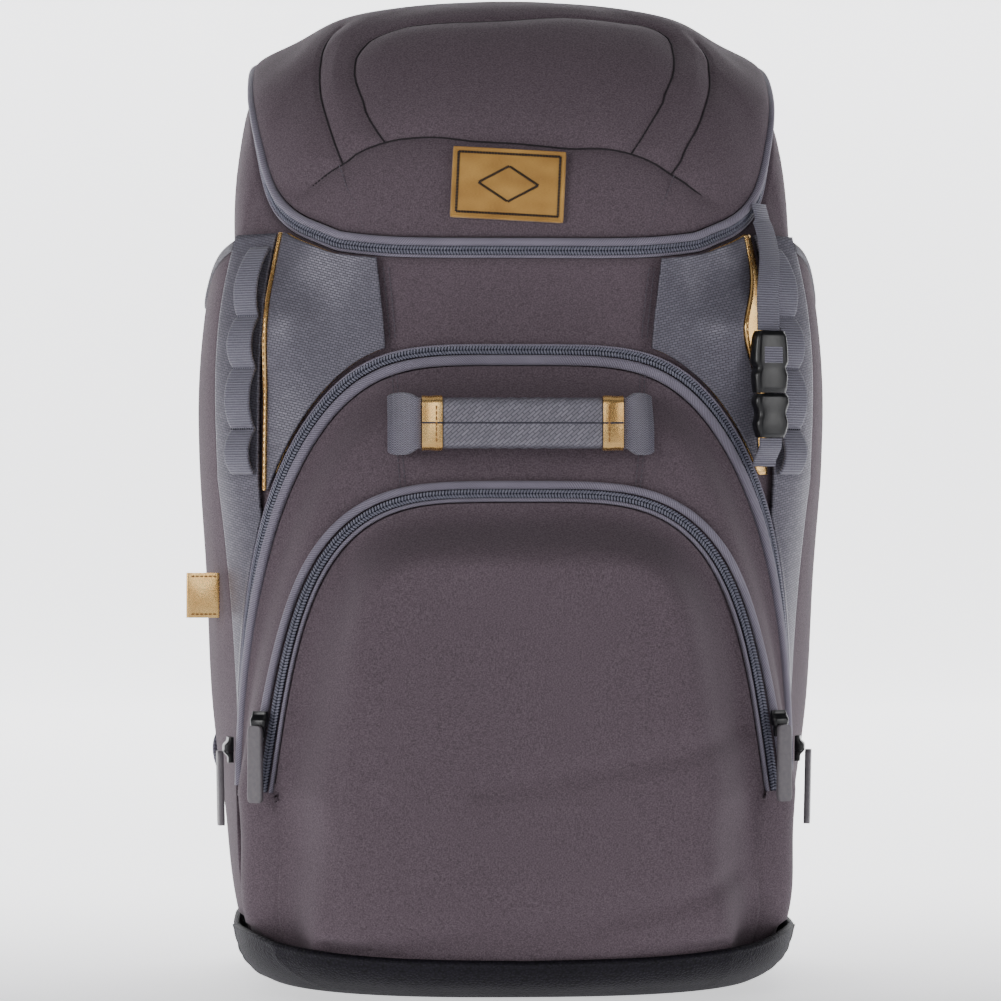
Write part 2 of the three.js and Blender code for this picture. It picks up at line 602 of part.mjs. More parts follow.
for (const [name, side] of [
  ["left", -1],
  ["right", 1],
]) {
  const front = (lift) => (column, row) => {
    const place = sidePocketPlace(name, column / POCKET_COLUMNS, row / POCKET_ROWS);
    return { ...place, lift: POCKET_BASE + place.stand + lift };
  };
  const wrap = (skin) => onSide(side, skin);
  add(
    "side_pocket_" + name,
    wallFrom(wrap(front(CLOTH)), wrap(front(0)), POCKET_COLUMNS, POCKET_ROWS),
    CARBON_LOOK,
  );

  const piping = (lift) => (column, row) => {
    const place = sidePocketPlace(name, 1, row / POCKET_ROWS);
    return {
      round: place.round + SEAM + column * PIPING,
      height: place.height,
      lift: POCKET_BASE + place.stand + lift,
    };
  };
  add("gold_edge_" + name, wallFrom(wrap(piping(PIPING)), wrap(piping(0)), 1, POCKET_ROWS), GOLD_LOOK);

  const lining = (lift) => (column, row) => {
    const round = THREE.MathUtils.lerp(PANEL_SEAM + PIPING, SLIT + PIPING, column / POCKET_COLUMNS);
    const low = Math.max(borderHeight(round), MOUTH_LOW - WEBBING);
    return { round, height: THREE.MathUtils.lerp(low, panelTop(round), row / 3), lift };
  };
  add(
    "pocket_lining_" + name,
    wallFrom(wrap(lining(CLEAR + LINING)), wrap(lining(CLEAR)), POCKET_COLUMNS, 3),
    GOLD_LOOK,
  );

  const GUSSET_COLUMNS = 5;
  const gusset = (under) => (column, row) => {
    const start = SLIT + 2 * PIPING;
    const round = THREE.MathUtils.lerp(start, GUSSET_BACK, column / GUSSET_COLUMNS);
    const height = THREE.MathUtils.lerp(borderHeight(round), panelTop(round), row / POCKET_ROWS);
    return { round, height, lift: sleeveLift(round, height) - under };
  };
  add(
    "side_gusset_" + name,
    wallFrom(wrap(gusset(0)), wrap(gusset(CLOTH)), GUSSET_COLUMNS, POCKET_ROWS),
    CARBON_LOOK,
  );

  // Bat sleeve behind the gusset: open at its mouth, closed where it runs down to the tray
  const SLEEVE_COLUMNS = 8;
  const SLEEVE_ROWS = 8;
  const mouthHeight = (across) =>
    THREE.MathUtils.lerp(SLEEVE_MOUTH, SLEEVE_PEAK, rowAt(MOUTH_ROWS, across));
  const sleevePlace = (across, height) => {
    const start = sleeveFront(height, GUSSET_BACK + SEAM);
    const round = THREE.MathUtils.lerp(start, SLEEVE_BACK, across);
    return { round, height, lift: sleeveLift(round, height) };
  };
  const sleeve = (under) => (column, row) => {
    const across = column / SLEEVE_COLUMNS;
    const height = THREE.MathUtils.lerp(SLEEVE_FOOT, mouthHeight(across), row / SLEEVE_ROWS);
    const place = sleevePlace(across, height);
    return { ...place, lift: place.lift - under };
  };
  add(
    "bat_sleeve_" + name,
    wallFrom(wrap(sleeve(0)), wrap(sleeve(CLOTH)), SLEEVE_COLUMNS, SLEEVE_ROWS),
    CLOTH_LOOK,
  );
  const trim = (under) => (column, row) => {
    const across = column / SLEEVE_COLUMNS;
    const place = sleevePlace(across, mouthHeight(across) + SEAM + row * TRIM_WIDTH);
    return { ...place, lift: place.lift - under };
  };
  add(
    "sleeve_trim_" + name,
    wallFrom(wrap(trim(0)), wrap(trim(CLOTH)), SLEEVE_COLUMNS, 1),
    WELT_LOOK,
  );

  // Daisy chain: webbing tacked down at intervals, so that it stands off in loops between them
  const tacks = [DAISY.low, ...DAISY_TACKS, DAISY.top];
  const daisyRows = 4 * (tacks.length - 1);
  const daisy = (lift) => (column, row) => {
    const loop = Math.min(Math.floor(row / 4), tacks.length - 2);
    const share = (row - 4 * loop) / 4;
    const height = THREE.MathUtils.lerp(tacks[loop], tacks[loop + 1], share);
    const round = THREE.MathUtils.lerp(DAISY.front, DAISY.back, column / 2);
    const stand = DAISY.stand * Math.sin(Math.PI * share);
    return { round, height, lift: sleeveLift(round, height) + CLEAR + stand + lift };
  };
  add(
    "daisy_chain_" + name,
    wallFrom(wrap(daisy(WEBBING_THICKNESS)), wrap(daisy(0)), 2, daisyRows),
    WEBBING_LOOK,
  );
}

// A rounded bar's section, with a flat on each side.
function roundedSection(width, thickness, corner, steps = 2) {
  const section = [];
  for (const [a, u, from] of [
    [1, 1, 0],
    [-1, 1, 1],
    [-1, -1, 2],
    [1, -1, 3],
  ])
    for (let step = 0; step <= steps; step++) {
      const turn = (from + step / steps) * (Math.PI / 2);
      section.push([
        a * (width / 2 - corner) + corner * Math.cos(turn),
        u * (thickness / 2 - corner) + corner * Math.sin(turn),
      ]);
    }
  return section;
}

// Carrying handle: a padded grip between two gold cuffs, on webbing sewn into the panel's seams
const panelFace = -lifted(0, GRIP.height, middleLift(0, GRIP.height)).y;
const gripDepth = panelFace + GRIP.gap + GRIP.thickness / 2;
const handleStation = (across) => ({
  at: new THREE.Vector3(across, -gripDepth, GRIP.height),
  across: Z,
  up: Y,
});
const gripEnd = GRIP.length / 2;
add(
  "handle_grip",
  railFrom([-gripEnd, gripEnd].map((x) => handleStation(x)), roundedSection(GRIP.width, GRIP.thickness, 4)),
  CARBON_LOOK,
);
for (const [name, side] of [
  ["left", -1],
  ["right", 1],
]) {
  const cuffStart = gripEnd + SEAM;
  const cuffEnd = cuffStart + CUFF.length;
  add(
    "handle_cuff_" + name,
    railFrom(
      [cuffStart, cuffEnd].map((x) => handleStation(side * x)),
      roundedSection(CUFF.width, CUFF.thickness, 4),
    ),
    GOLD_LOOK,
  );
  // The webbing widens and comes down to the panel
  const webStart = cuffEnd + SEAM;
  const rootFace = (across, height) => {
    const round = across * side;
    return -lifted(round, height, middleLift(round, height)).y;
  };
  const web = (under) => (column, row) => {
    const share = column / 3;
    const across = THREE.MathUtils.lerp(webStart, HANDLE_ROOT.across, share);
    const width = THREE.MathUtils.lerp(GRIP.width, HANDLE_ROOT.width, share);
    const height = GRIP.height + (row / 2 - 0.5) * width;
    const depth = THREE.MathUtils.lerp(gripDepth, rootFace(across, height) + 4 * CLEAR, rise(share, 1));
    return new THREE.Vector3(side * across, -depth - WEBBING_THICKNESS + under, height);
  };
  add("handle_webbing_" + name, wallFrom(web(0), web(WEBBING_THICKNESS), 3, 2), WEBBING_LOOK);
}

// The lid's front face at a place across and a height.
function lidFace(across, height) {
  const topOver = (depth) => {
    const heading = Math.atan2(across, LID_BACKSET - depth);
    let [near, far] = [-HALF_ROUND, HALF_ROUND];
    for (let halving = 0; halving < 14; halving++) {
      const round = (near + far) / 2;
      const edge = rimPoint(round, BAND + SEAM, -1);
      if (Math.atan2(edge.x, LID_BACKSET - edge.y) < heading) near = round;
      else far = round;
    }
    const edge = rimPoint(near, BAND + SEAM, -1);
    const spread = Math.hypot(across, depth - LID_BACKSET) / Math.hypot(edge.x, edge.y - LID_BACKSET);
    const rounded = (1 - Math.min(1, spread) ** LID_ROUNDING) ** (1 / LID_ROUNDING);
    return edge.z + (BAG_HEIGHT - edge.z) * rounded;
  };
  let [low, high] = [-FRONT_DEPTH * 1.3, LID_BACKSET];
  for (let halving = 0; halving < 14; halving++) {
    const depth = (low + high) / 2;
    if (topOver(depth) < height) low = depth;
    else high = depth;
  }
  return low;
}

// Woven patch on the lid, turned a little
const patchSkin = (stand) => (column, row) => {
  const turn = THREE.MathUtils.degToRad(-PATCH.turn);
  const [a, u] = [(column / 4 - 0.5) * PATCH.width, (row / 2 - 0.5) * PATCH.tall];
  const across = PATCH.across + a * Math.cos(turn) - u * Math.sin(turn);
  const height = PATCH.height + a * Math.sin(turn) + u * Math.cos(turn);
  return new THREE.Vector3(across, lidFace(across, height) - 1.2 * CLEAR - stand, height);
};
add("front_patch", wallFrom(patchSkin(PATCH.thickness), patchSkin(0), 4, 2), GOLD_LOOK);

// Folded leather tag in the left gusset's seam
const tagRoot = lifted(-TAG.round, TAG.low, sleeveLift(TAG.round, TAG.low));
add(
  "side_tag",
  railFrom(
    [TAG.low, TAG.low + TAG.tall].map((height) => ({
      at: new THREE.Vector3(tagRoot.x - 4 * CLEAR, tagRoot.y, height),
      across: X,
      up: Y,
    })),
    rectangle(-TAG.length, 0, 0, TAG.thickness),
  ),
  GOLD_LOOK,
);

// A frame on the right side's webbing line, for the bat strap and its buckle. stand is the distance off
// the cloth.
function strapFrame(height, stand) {
  const share = (BAT_STRAP.top - height) / (BAT_STRAP.top - BAT_STRAP.low);
  const round = THREE.MathUtils.lerp(BAT_STRAP.topRound, BAT_STRAP.lowRound, rise(share, BAT_STRAP.drawnIn));
  const lift = sleeveLift(round, Math.min(height, GUSSET_TOP - 1)) * (1 - rise(height - GUSSET_TOP, WEBBING));
  const out = outwardAt(round, height);
  return {
    at: bodyPoint(round, height).addScaledVector(out, lift + stand),
    across: Z.clone().cross(out).normalize(),
    up: out,
  };
}
const buckleLow = BUCKLE.top - BUCKLE.socket - SEAM - BUCKLE.plug;
const strapOff = DAISY.stand + 2 * WEBBING_THICKNESS + 5 * CLEAR;
const strapStand = (height) =>
  2 * CLEAR +
  strapOff *
    rise(BAT_STRAP.top - height, 2 * WEBBING) *
    (0.5 + 0.5 * rise(height - BAT_STRAP.low, WEBBING / 2));
const strapPiece = (high, low, steps) =>
  railFrom(
    Array.from({ length: steps + 1 }, (_, step) => {
      const height = THREE.MathUtils.lerp(high, low, step / steps);
      return strapFrame(height, strapStand(height));
    }),
    rectangle(-BAT_STRAP.width / 2, BAT_STRAP.width / 2, 0, WEBBING_THICKNESS),
  );
add("bat_strap_upper", strapPiece(BAT_STRAP.top, BUCKLE.top + SEAM, 8), WEBBING_LOOK);
add("bat_strap_lower", strapPiece(buckleLow - SEAM, BAT_STRAP.low, 3), WEBBING_LOOK);
const bucklePiece = (high, low, widths) =>
  railFrom(
    widths.map((_, step) => {
      const height = THREE.MathUtils.lerp(high, low, step / (widths.length - 1));
      const frame = strapFrame((high + low) / 2, strapStand((high + low) / 2));
      frame.at.addScaledVector(Z, height - (high + low) / 2);
      frame.across = frame.across.clone().multiplyScalar(widths[step]);
      return frame;
    }),
    roundedSection(BUCKLE.width, BUCKLE.thickness, 3, 1).map(([a, u]) => [a, u + WEBBING_THICKNESS / 2]),
  );
const socketLow = BUCKLE.top - BUCKLE.socket;
add("buckle_socket", bucklePiece(BUCKLE.top, socketLow, [0.8, 1, 1, 0.9]), PLASTIC_LOOK);
add("buckle_plug", bucklePiece(socketLow - SEAM, buckleLow, [0.9, 1, 0.75]), PLASTIC_LOOK);

// Sliders at the lower ends of the pockets' zips, each with a moulded pull that hangs from it
for (const [name, arch, baseAt, above] of [
  ["middle", MIDDLE, () => 0, SLIDER_ABOVE_FOOT.middle],
  ["front", POCKET, middleLift, SLIDER_ABOVE_FOOT.front],
])
  for (const [side, sign] of [
    ["left", -1],
    ["right", 1],
  ]) {
    const height = arch.foot + above;
    const round = archWidth(arch, height, CHAIN_WIDTH / 2);
    const out = outwardAt(sign * round, height);
    const across = Z.clone().cross(out).normalize();
    // Its line runs from the slider's top down to where the pull's foot lies on the cloth
    const half = SLIDER.length / 2;
    const onCloth = (z) => lifted(sign * round, z, baseAt(round, z) + WELT_THICKNESS + 1.3 * CLEAR);
    const top = onCloth(height + half);
    const fall = onCloth(height - PULL.length).sub(top).divideScalar(PULL.length + half);
    const frame = (drop, off) => ({
      at: top.clone().addScaledVector(fall, drop + half).addScaledVector(out, off),
      across,
      up: out,
    });
    add(
      "zip_slider_" + name + "_" + side,
      railFrom(
        [frame(-half, 0), frame(half, 0)],
        rectangle(-SLIDER.width / 2, SLIDER.width / 2, 0, SLIDER.thickness),
      ),
      PLASTIC_LOOK,
    );
    const pullTop = half - PULL_LAP;
    add(
      "zip_pull_" + name + "_" + side,
      railFrom(
        [0, 0.08, 0.92, 1].map((share, k) => {
          const here = frame(pullTop + PULL.length * share, SLIDER.thickness + SEAM);
          here.across = here.across.clone().multiplyScalar(k === 0 || k === 3 ? 0.7 : 1);
          return here;
        }),
        rectangle(-PULL.width / 2, PULL.width / 2, 0, PULL.thickness),
      ),
      PULL_LOOK,
    );
  }

// Sliders of the lid's zip, at its back ends
for (const [side, sign] of [
  ["left", -1],
  ["right", 1],
]) {
  const round = sign * (HALF_ROUND - 2 * SHOULDER_STRAP.width);
  const { at, along, out, up } = rimFrame(round);
  at.addScaledVector(up, SEAM + CHAIN_WIDTH / 2).addScaledVector(out, ZIP_THICKNESS - CLOTH + CLEAR);
  const ends = [-0.5, 0.5].map((share) => ({
    at: at.clone().addScaledVector(along, share * SLIDER.length),
    across: up,
    up: out,
  }));
  add(
    "lid_slider_" + side,
    railFrom(ends, rectangle(-SLIDER.width / 4, SLIDER.width / 4, 0, SLIDER.thickness)),
    PLASTIC_LOOK,
  );
}

// Pads of spacer mesh on the back, thinner towards their edges
function padFrom(left, right, low, high) {
  const skin = (outside) => (column, row) => {
    const edge = (share, size) => Math.min(share, 1 - share) * size;
    const spaced = (share) => 0.5 - 0.5 * Math.cos(Math.PI * share);
    const [a, u] = [spaced(column / 5), spaced(row / 6)];
    const across = THREE.MathUtils.lerp(left, right, a);
    const height = THREE.MathUtils.lerp(low, high, u);
    const inside = Math.min(edge(a, right - left), edge(u, high - low));
    const crown = BACK_PAD.thickness * (0.35 + 0.65 * rise(inside, PAD_EDGE));
    return lifted(HALF_ROUND - across, height, CLEAR + (outside ? crown : 0));
  };
  return wallFrom(skin(true), skin(false), 5, 6);
}
add(
  "back_pad_right",
  padFrom(BACK_PAD.inside, BACK_PAD.outside, BACK_PAD.low, BACK_PAD.high),
  MESH_LOOK,
);
add(
  "back_pad_left",
  padFrom(-BACK_PAD.outside, -BACK_PAD.inside, BACK_PAD.low, BACK_PAD.high),
  MESH_LOOK,
);
add("back_pad_lumbar", padFrom(-LUMBAR.outside, LUMBAR.outside, LUMBAR.low, LUMBAR.high), MESH_LOOK);

// Shoulder straps: padded, from the back panel's top outwards and down to a ladder lock each
const backFace = (height) => bodyPoint(HALF_ROUND, height).y;
function strapPlace(share) {
  const height = THREE.MathUtils.lerp(SHOULDER_STRAP.top, SHOULDER_STRAP.bottom, share);
  const across = THREE.MathUtils.lerp(SHOULDER_STRAP.inside, SHOULDER_STRAP.outside, rise(share - 0.2, 0.8));
  const pad = (BACK_PAD.thickness + 2 * CLEAR) * rise(share, 0.07);
  const bow = SHOULDER_STRAP.bow * Math.sin(Math.PI * share) ** 0.8;
  return new THREE.Vector3(
    across,
    backFace(height) + CLEAR + SHOULDER_STRAP.thickness / 2 + pad + bow,
    height,
  );
}
for (const [side, sign] of [
  ["left", -1],
  ["right", 1],
]) {
  const mirrored = (point) => new THREE.Vector3(sign * point.x, point.y, point.z);
  const stations = [0, 0.04, 0.08, 0.16, 0.28, 0.42, 0.56, 0.7, 0.84, 0.93, 1].map((share) => {
    const at = mirrored(strapPlace(share));
    const along = mirrored(strapPlace(Math.min(1, share + 0.01)))
      .sub(mirrored(strapPlace(Math.max(0, share - 0.01))))
      .normalize();
    const across = Y.clone().cross(along).normalize();
    const width = share > 0.9 ? 0.75 : 1;
    return { at, across: across.clone().multiplyScalar(width), up: along.clone().cross(across).normalize() };
  });
  add(
    "shoulder_strap_" + side,
    railFrom(stations, roundedSection(SHOULDER_STRAP.width, SHOULDER_STRAP.thickness, 4, 1)),
    CLOTH_LOOK,
  );

  // Ladder lock: a frame with a bar across its middle
  const end = mirrored(strapPlace(1));
  const lock = new THREE.Shape();
  const [half, tall] = [LADDER_LOCK.width / 2, LADDER_LOCK.tall];
  lock.moveTo(-half, 0).lineTo(half, 0).lineTo(half - 3, tall).lineTo(-half + 3, tall).lineTo(-half, 0);
  const window = (tall - 3 * LADDER_LOCK.bar) / 2;
  for (const low of [LADDER_LOCK.bar, 2 * LADDER_LOCK.bar + window]) {
    const reach = WEBBING / 2 + CLEAR;
    const slot = new THREE.Path();
    slot.moveTo(-reach, low).lineTo(-reach, low + window).lineTo(reach, low + window).lineTo(reach, low);
    lock.holes.push(slot.closePath());
  }
  const lockShape = new THREE.ExtrudeGeometry(lock, { depth: LADDER_LOCK.thickness, bevelEnabled: false });
  const lockLow = end.z - 2.4 * CLEAR - tall;
  lockShape.rotateX(Math.PI / 2).translate(end.x, end.y + LADDER_LOCK.thickness / 2, lockLow);
  lockShape.deleteAttribute("uv").deleteAttribute("normal");
  add("ladder_lock_" + side, lockShape, PLASTIC_LOOK);

  // Lower webbing, from the ladder lock round to its anchor low on the side
  const anchor = lifted(sign * LOWER_ANCHOR.round, LOWER_ANCHOR.height, SEAM);
  const out = outwardAt(sign * LOWER_ANCHOR.round, LOWER_ANCHOR.height);
  const lockFoot = new THREE.Vector3(end.x, end.y, lockLow - CLEAR);
  const route = new THREE.CatmullRomCurve3([
    lockFoot,
    lockFoot.clone().addScaledVector(Z, -LOWER_HANG.fall),
    lockFoot.clone().add(new THREE.Vector3(sign * LOWER_HANG.aside, 0, -LOWER_HANG.low)),
    anchor.clone().addScaledVector(out, LOWER_HANG.bow).addScaledVector(Z, LOWER_HANG.bowAbove),
    anchor.clone().addScaledVector(out, LOWER_HANG.close).addScaledVector(Z, LOWER_HANG.closeAbove),
    anchor,
  ]);
  const steps = 12;
  const strip = Array.from({ length: steps + 1 }, (_, step) => {
    const share = step / steps;
    const along = route.getTangentAt(share);
    const facing = Y.clone().lerp(out, rise(share, 0.8)).normalize();
    const across = facing.clone().cross(along).normalize();
    return { at: route.getPointAt(share), across, up: along.clone().cross(across).normalize() };
  });
  add(
    "strap_webbing_" + side,
    railFrom(strip, rectangle(-WEBBING / 2, WEBBING / 2, -WEBBING_THICKNESS / 2, WEBBING_THICKNESS / 2)),
    WEBBING_LOOK,
  );
}

// Haul loop between the straps' tops
const haulBase = backFace(HAUL_LOOP.height - HAUL_LOOP.width) + SEAM;
const haulSteps = 12;
const haul = Array.from({ length: haulSteps + 1 }, (_, step) => {
  const turn = (Math.PI * step) / haulSteps;
  return {
    at: new THREE.Vector3(
      -HAUL_LOOP.half * Math.cos(turn),
      haulBase + HAUL_LOOP.stand * Math.sin(turn),
      HAUL_LOOP.height,
    ),
    across: Z,
    up: new THREE.Vector3(Math.cos(turn), -Math.sin(turn), 0),
  };
});
add(
  "haul_loop",
  railFrom(haul, rectangle(-HAUL_LOOP.width, HAUL_LOOP.width, -WEBBING_THICKNESS / 2, WEBBING_THICKNESS / 2)),
  WEBBING_LOOK,
);

export default group;
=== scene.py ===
import math

import bmesh
import bpy
import numpy as np
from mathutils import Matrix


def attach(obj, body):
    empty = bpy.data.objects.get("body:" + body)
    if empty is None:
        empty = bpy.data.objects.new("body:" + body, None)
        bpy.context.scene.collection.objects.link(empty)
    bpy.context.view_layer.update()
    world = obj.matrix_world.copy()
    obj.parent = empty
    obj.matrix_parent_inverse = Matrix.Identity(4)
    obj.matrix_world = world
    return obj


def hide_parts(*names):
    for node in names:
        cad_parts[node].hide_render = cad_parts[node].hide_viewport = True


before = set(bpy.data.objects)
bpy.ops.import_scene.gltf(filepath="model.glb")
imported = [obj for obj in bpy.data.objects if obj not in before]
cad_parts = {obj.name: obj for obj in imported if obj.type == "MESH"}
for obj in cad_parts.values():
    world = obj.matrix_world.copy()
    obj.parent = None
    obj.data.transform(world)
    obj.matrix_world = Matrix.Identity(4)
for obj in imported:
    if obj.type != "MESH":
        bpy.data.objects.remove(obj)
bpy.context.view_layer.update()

# Main compartment: a tall tube of dense woven nylon in a greyed mauve, cut as a front, two sides and a
# back and sewn to the tray below. Its upper edge climbs from the front panel to the back, and carries the
# lid's zip. The tray's form is given here too, because the cloth fills the tray's corners. Lengths are in
# millimetres until a piece is made.
MILLIMETRE = 0.001
BAG_HEIGHT, BODY_WIDTH, FRONT_DEPTH, BACK_DEPTH = 508, 284, 92, 95
RIM_FRONT, RIM_BACK, BODY_FOOT, CLOTH, CLEAR, SEAM = 365.5, 469.5, 12, 2.2, 0.8, 0.4
PANEL_SEAM, SLIT, GUSSET_BACK, SLEEVE_BACK = 66, 126, 157, 262
BODY_ROWS = [
    (0.0, 0.9, 0.93, 0.9, 3.0), (0.07, 0.975, 0.98, 0.97, 3.2), (0.2, 0.99, 1.0, 1.0, 4.4),
    (0.6, 1.0, 1.0, 1.0, 4.6), (0.8, 1.02, 1.0, 1.0, 4.2), (0.9, 1.015, 1.03, 1.0, 3.6),
    (0.96, 0.99, 1.08, 0.99, 3.1), (1.0, 0.955, 1.13, 0.97, 2.8),
]
RIM_ROWS = [
    (0, 0), (30, 0.005), (44.5, 0.037), (50, 0.08), (56, 0.135), (61.5, 0.2125), (66, 0.309),
    (69.5, 0.418), (73, 0.541), (79, 0.692), (86, 0.803), (95, 0.905), (106, 0.98), (135, 1), (180, 1),
]


def eased(value, width=1.0):
    share = np.clip(np.asarray(value, float) / width, 0, 1)
    return share**3 * (share * (6 * share - 15) + 10)


def through(rows, at, column=1):
    """Value of a table's column at a place along its first, on a smooth curve through the rows."""
    table = np.array(rows, float)
    x, y = table[:, 0], table[:, column]
    before, after = np.maximum(np.arange(len(x)) - 1, 0), np.minimum(np.arange(len(x)) + 1, len(x) - 1)
    slope = (y[after] - y[before]) / (x[after] - x[before])
    at = np.clip(at, x[0], x[-1])
    low = np.clip(np.searchsorted(x, at, side="right") - 1, 0, len(x) - 2)
    width = x[low + 1] - x[low]
    t = (at - x[low]) / width
    return (
        y[low] * (1 + 2 * t) * (1 - t) ** 2
        + y[low + 1] * t * t * (3 - 2 * t)
        + slope[low] * width * t * (1 - t) ** 2
        - slope[low + 1] * width * t * t * (1 - t)
    )


def line_through(points, count):
    """Evenly spaced places on a smooth curve through points."""
    points = np.array(points, float)
    run = np.concatenate([[0], np.cumsum(np.linalg.norm(np.diff(points, axis=0), axis=1))])
    rows = np.column_stack([run, points])
    at = np.linspace(0, run[-1], count)
    return np.stack([through(rows, at, k + 1) for k in range(points.shape[1])], -1)


def off_line(points, line):
    """How far each point lies from a line."""
    nearest = np.full(len(points), np.inf)
    for start, end in zip(line[:-1], line[1:]):
        way = end - start
        share = np.clip((points - start) @ way / max(way @ way, 1e-9), 0, 1)
        nearest = np.minimum(nearest, np.linalg.norm(points - start - share[:, None] * way, axis=1))
    return nearest


def unit(v):
    return v / np.maximum(np.linalg.norm(v, axis=-1, keepdims=True), 1e-9)


def reach(turn, wide, front, back, square):
    deep = np.where(np.cos(turn) > 0, front, back)
    gauge = np.abs(np.sin(turn) / wide) ** square + np.abs(np.cos(turn) / deep) ** square
    return gauge ** (-1 / square)


def around(turn, radius, height):
    return np.stack([radius * np.sin(turn), -radius * np.cos(turn), height + 0 * turn], -1)


BODY_SQUARE = 4.6
TURNS = np.linspace(-np.pi, np.pi, 5761)
OUTLINE = around(TURNS, reach(TURNS, BODY_WIDTH / 2, FRONT_DEPTH, BACK_DEPTH, BODY_SQUARE), 0)
LENGTHS = np.concatenate([[0], np.cumsum(np.linalg.norm(np.diff(OUTLINE, axis=0), axis=1))])
HALF_ROUND = LENGTHS[-1] / 2


def turn_at(round_):
    return np.interp((round_ + HALF_ROUND) % (2 * HALF_ROUND), LENGTHS, TURNS)


def rim_height(turn):
    return RIM_FRONT + (RIM_BACK - RIM_FRONT) * through(RIM_ROWS, np.degrees(np.abs(turn)))


def body_at(round_, height):
    turn = turn_at(round_)
    up = height / rim_height(turn)
    radius = reach(
        turn,
        BODY_WIDTH / 2 * through(BODY_ROWS, up, 1),
        FRONT_DEPTH * through(BODY_ROWS, up, 2),
        BACK_DEPTH * through(BODY_ROWS, up, 3),
        through(BODY_ROWS, up, 4),
    )
    return around(turn, radius, height)


def outward(round_, height):
    along = body_at(round_ + 1, height) - body_at(round_ - 1, height)
    return unit(np.stack([along[..., 1], -along[..., 0], 0 * along[..., 0]], -1))


def lifted(round_, height, lift):
    return body_at(round_, height) + outward(round_, height) * np.asarray(lift + 0 * round_)[..., None]


def spread(columns, rows, place):
    """A grid of cloth. place(s, t) gives its points and its own run, both in millimetres."""
    built = bmesh.new()
    bmesh.ops.create_grid(built, x_segments=columns, y_segments=rows, size=0.5)
    flat = np.array([corner.co[:2] for corner in built.verts])
    flat = (flat - flat.min(0)) / np.ptp(flat, 0)
    points, run = place(flat[:, 0], flat[:, 1])
    for corner, point in zip(built.verts, points * MILLIMETRE):
        corner.co = point
    layer = built.loops.layers.uv.new("run")
    built.verts.index_update()
    for face in built.faces:
        for loop in face.loops:
            loop[layer].uv = run[loop.vert.index]
    return built


def finished(name, built, finish, nodes=()):
    """The object of a mesh, with its finish, in place of these CAD nodes."""
    mesh = bpy.data.meshes.new(name)
    built.to_mesh(mesh)
    built.free()
    mesh.polygons.foreach_set("use_smooth", [True] * len(mesh.polygons))
    mesh.set_sharp_from_angle(angle=math.radians(42))
    mesh.materials.append(finish.material)
    made = bpy.data.objects.new(name, mesh)
    bpy.context.scene.collection.objects.link(made)
    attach(made, "root")
    if nodes:
        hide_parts(*nodes)
    return made


def panel(name, columns, rows, place, wall, finish, nodes=(), ring=False, inside=(0, 0, 230)):
    """A sewn panel: its outer face laid out by place, and its cloth's thickness behind it."""
    built = spread(columns, rows, place)
    if ring:
        bmesh.ops.remove_doubles(built, verts=built.verts[:], dist=1e-5)
    built.normal_update()
    middle = np.array(inside) * MILLIMETRE
    facing = sum(np.dot(face.normal, np.array(face.calc_center_median()) - middle) for face in built.faces)
    if facing < 0:
        bmesh.ops.reverse_faces(built, faces=built.faces[:])
    made = finished(name, built, finish, nodes)
    if wall:
        cloth = made.modifiers.new("thickness", "SOLIDIFY")
        cloth.thickness = wall * MILLIMETRE
        cloth.offset = -1
        cloth.use_quality_normals = True
    return made


def carried(points, facing):
    """Directions across and up at the stations of a line, with up as near to facing as it goes."""
    along = unit(np.gradient(points, axis=0))
    across = unit(np.cross(facing, along))
    return across, unit(np.cross(along, across))


def rail(points, across, up, section, ring=False):
    """A closed section carried through stations. It may change its shape from one to the next."""
    sides = section.shape[-2]
    shapes = np.broadcast_to(section, (len(points), sides, 2))
    lengths = np.concatenate([[0], np.cumsum(np.linalg.norm(np.diff(points, axis=0), axis=1))])
    closed = np.concatenate([shapes[0], shapes[0][:1]])
    girths = np.concatenate([[0], np.cumsum(np.linalg.norm(np.diff(closed, axis=0), axis=1))])

    def place(s, t):
        station = np.rint(s * (len(points) - 1)).astype(int)
        corner = np.rint(t * sides).astype(int)
        shape = shapes[station, corner % sides]
        at = points[station] + across[station] * shape[:, :1] + up[station] * shape[:, 1:]
        return at, np.stack([lengths[station], girths[corner]], -1)

    built = spread(len(points) - 1, sides, place)
    bmesh.ops.remove_doubles(built, verts=built.verts[:], dist=1e-6)
    if not ring:
        bmesh.ops.holes_fill(built, edges=[edge for edge in built.edges if edge.is_boundary], sides=0)
    bmesh.ops.recalc_face_normals(built, faces=built.faces[:])
    return built


def rounded(width, thickness, corner, steps=4):
    """A bar's section with round corners, its middle at the origin."""
    turn = np.concatenate([np.linspace(k, k + 1, steps + 1) for k in range(4)]) * (math.pi / 2)
    side = np.repeat([[1, 1], [-1, 1], [-1, -1], [1, -1]], steps + 1, axis=0)
    flat = np.array([width / 2 - corner, thickness / 2 - corner])
    return side * flat + corner * np.stack([np.cos(turn), np.sin(turn)], -1)


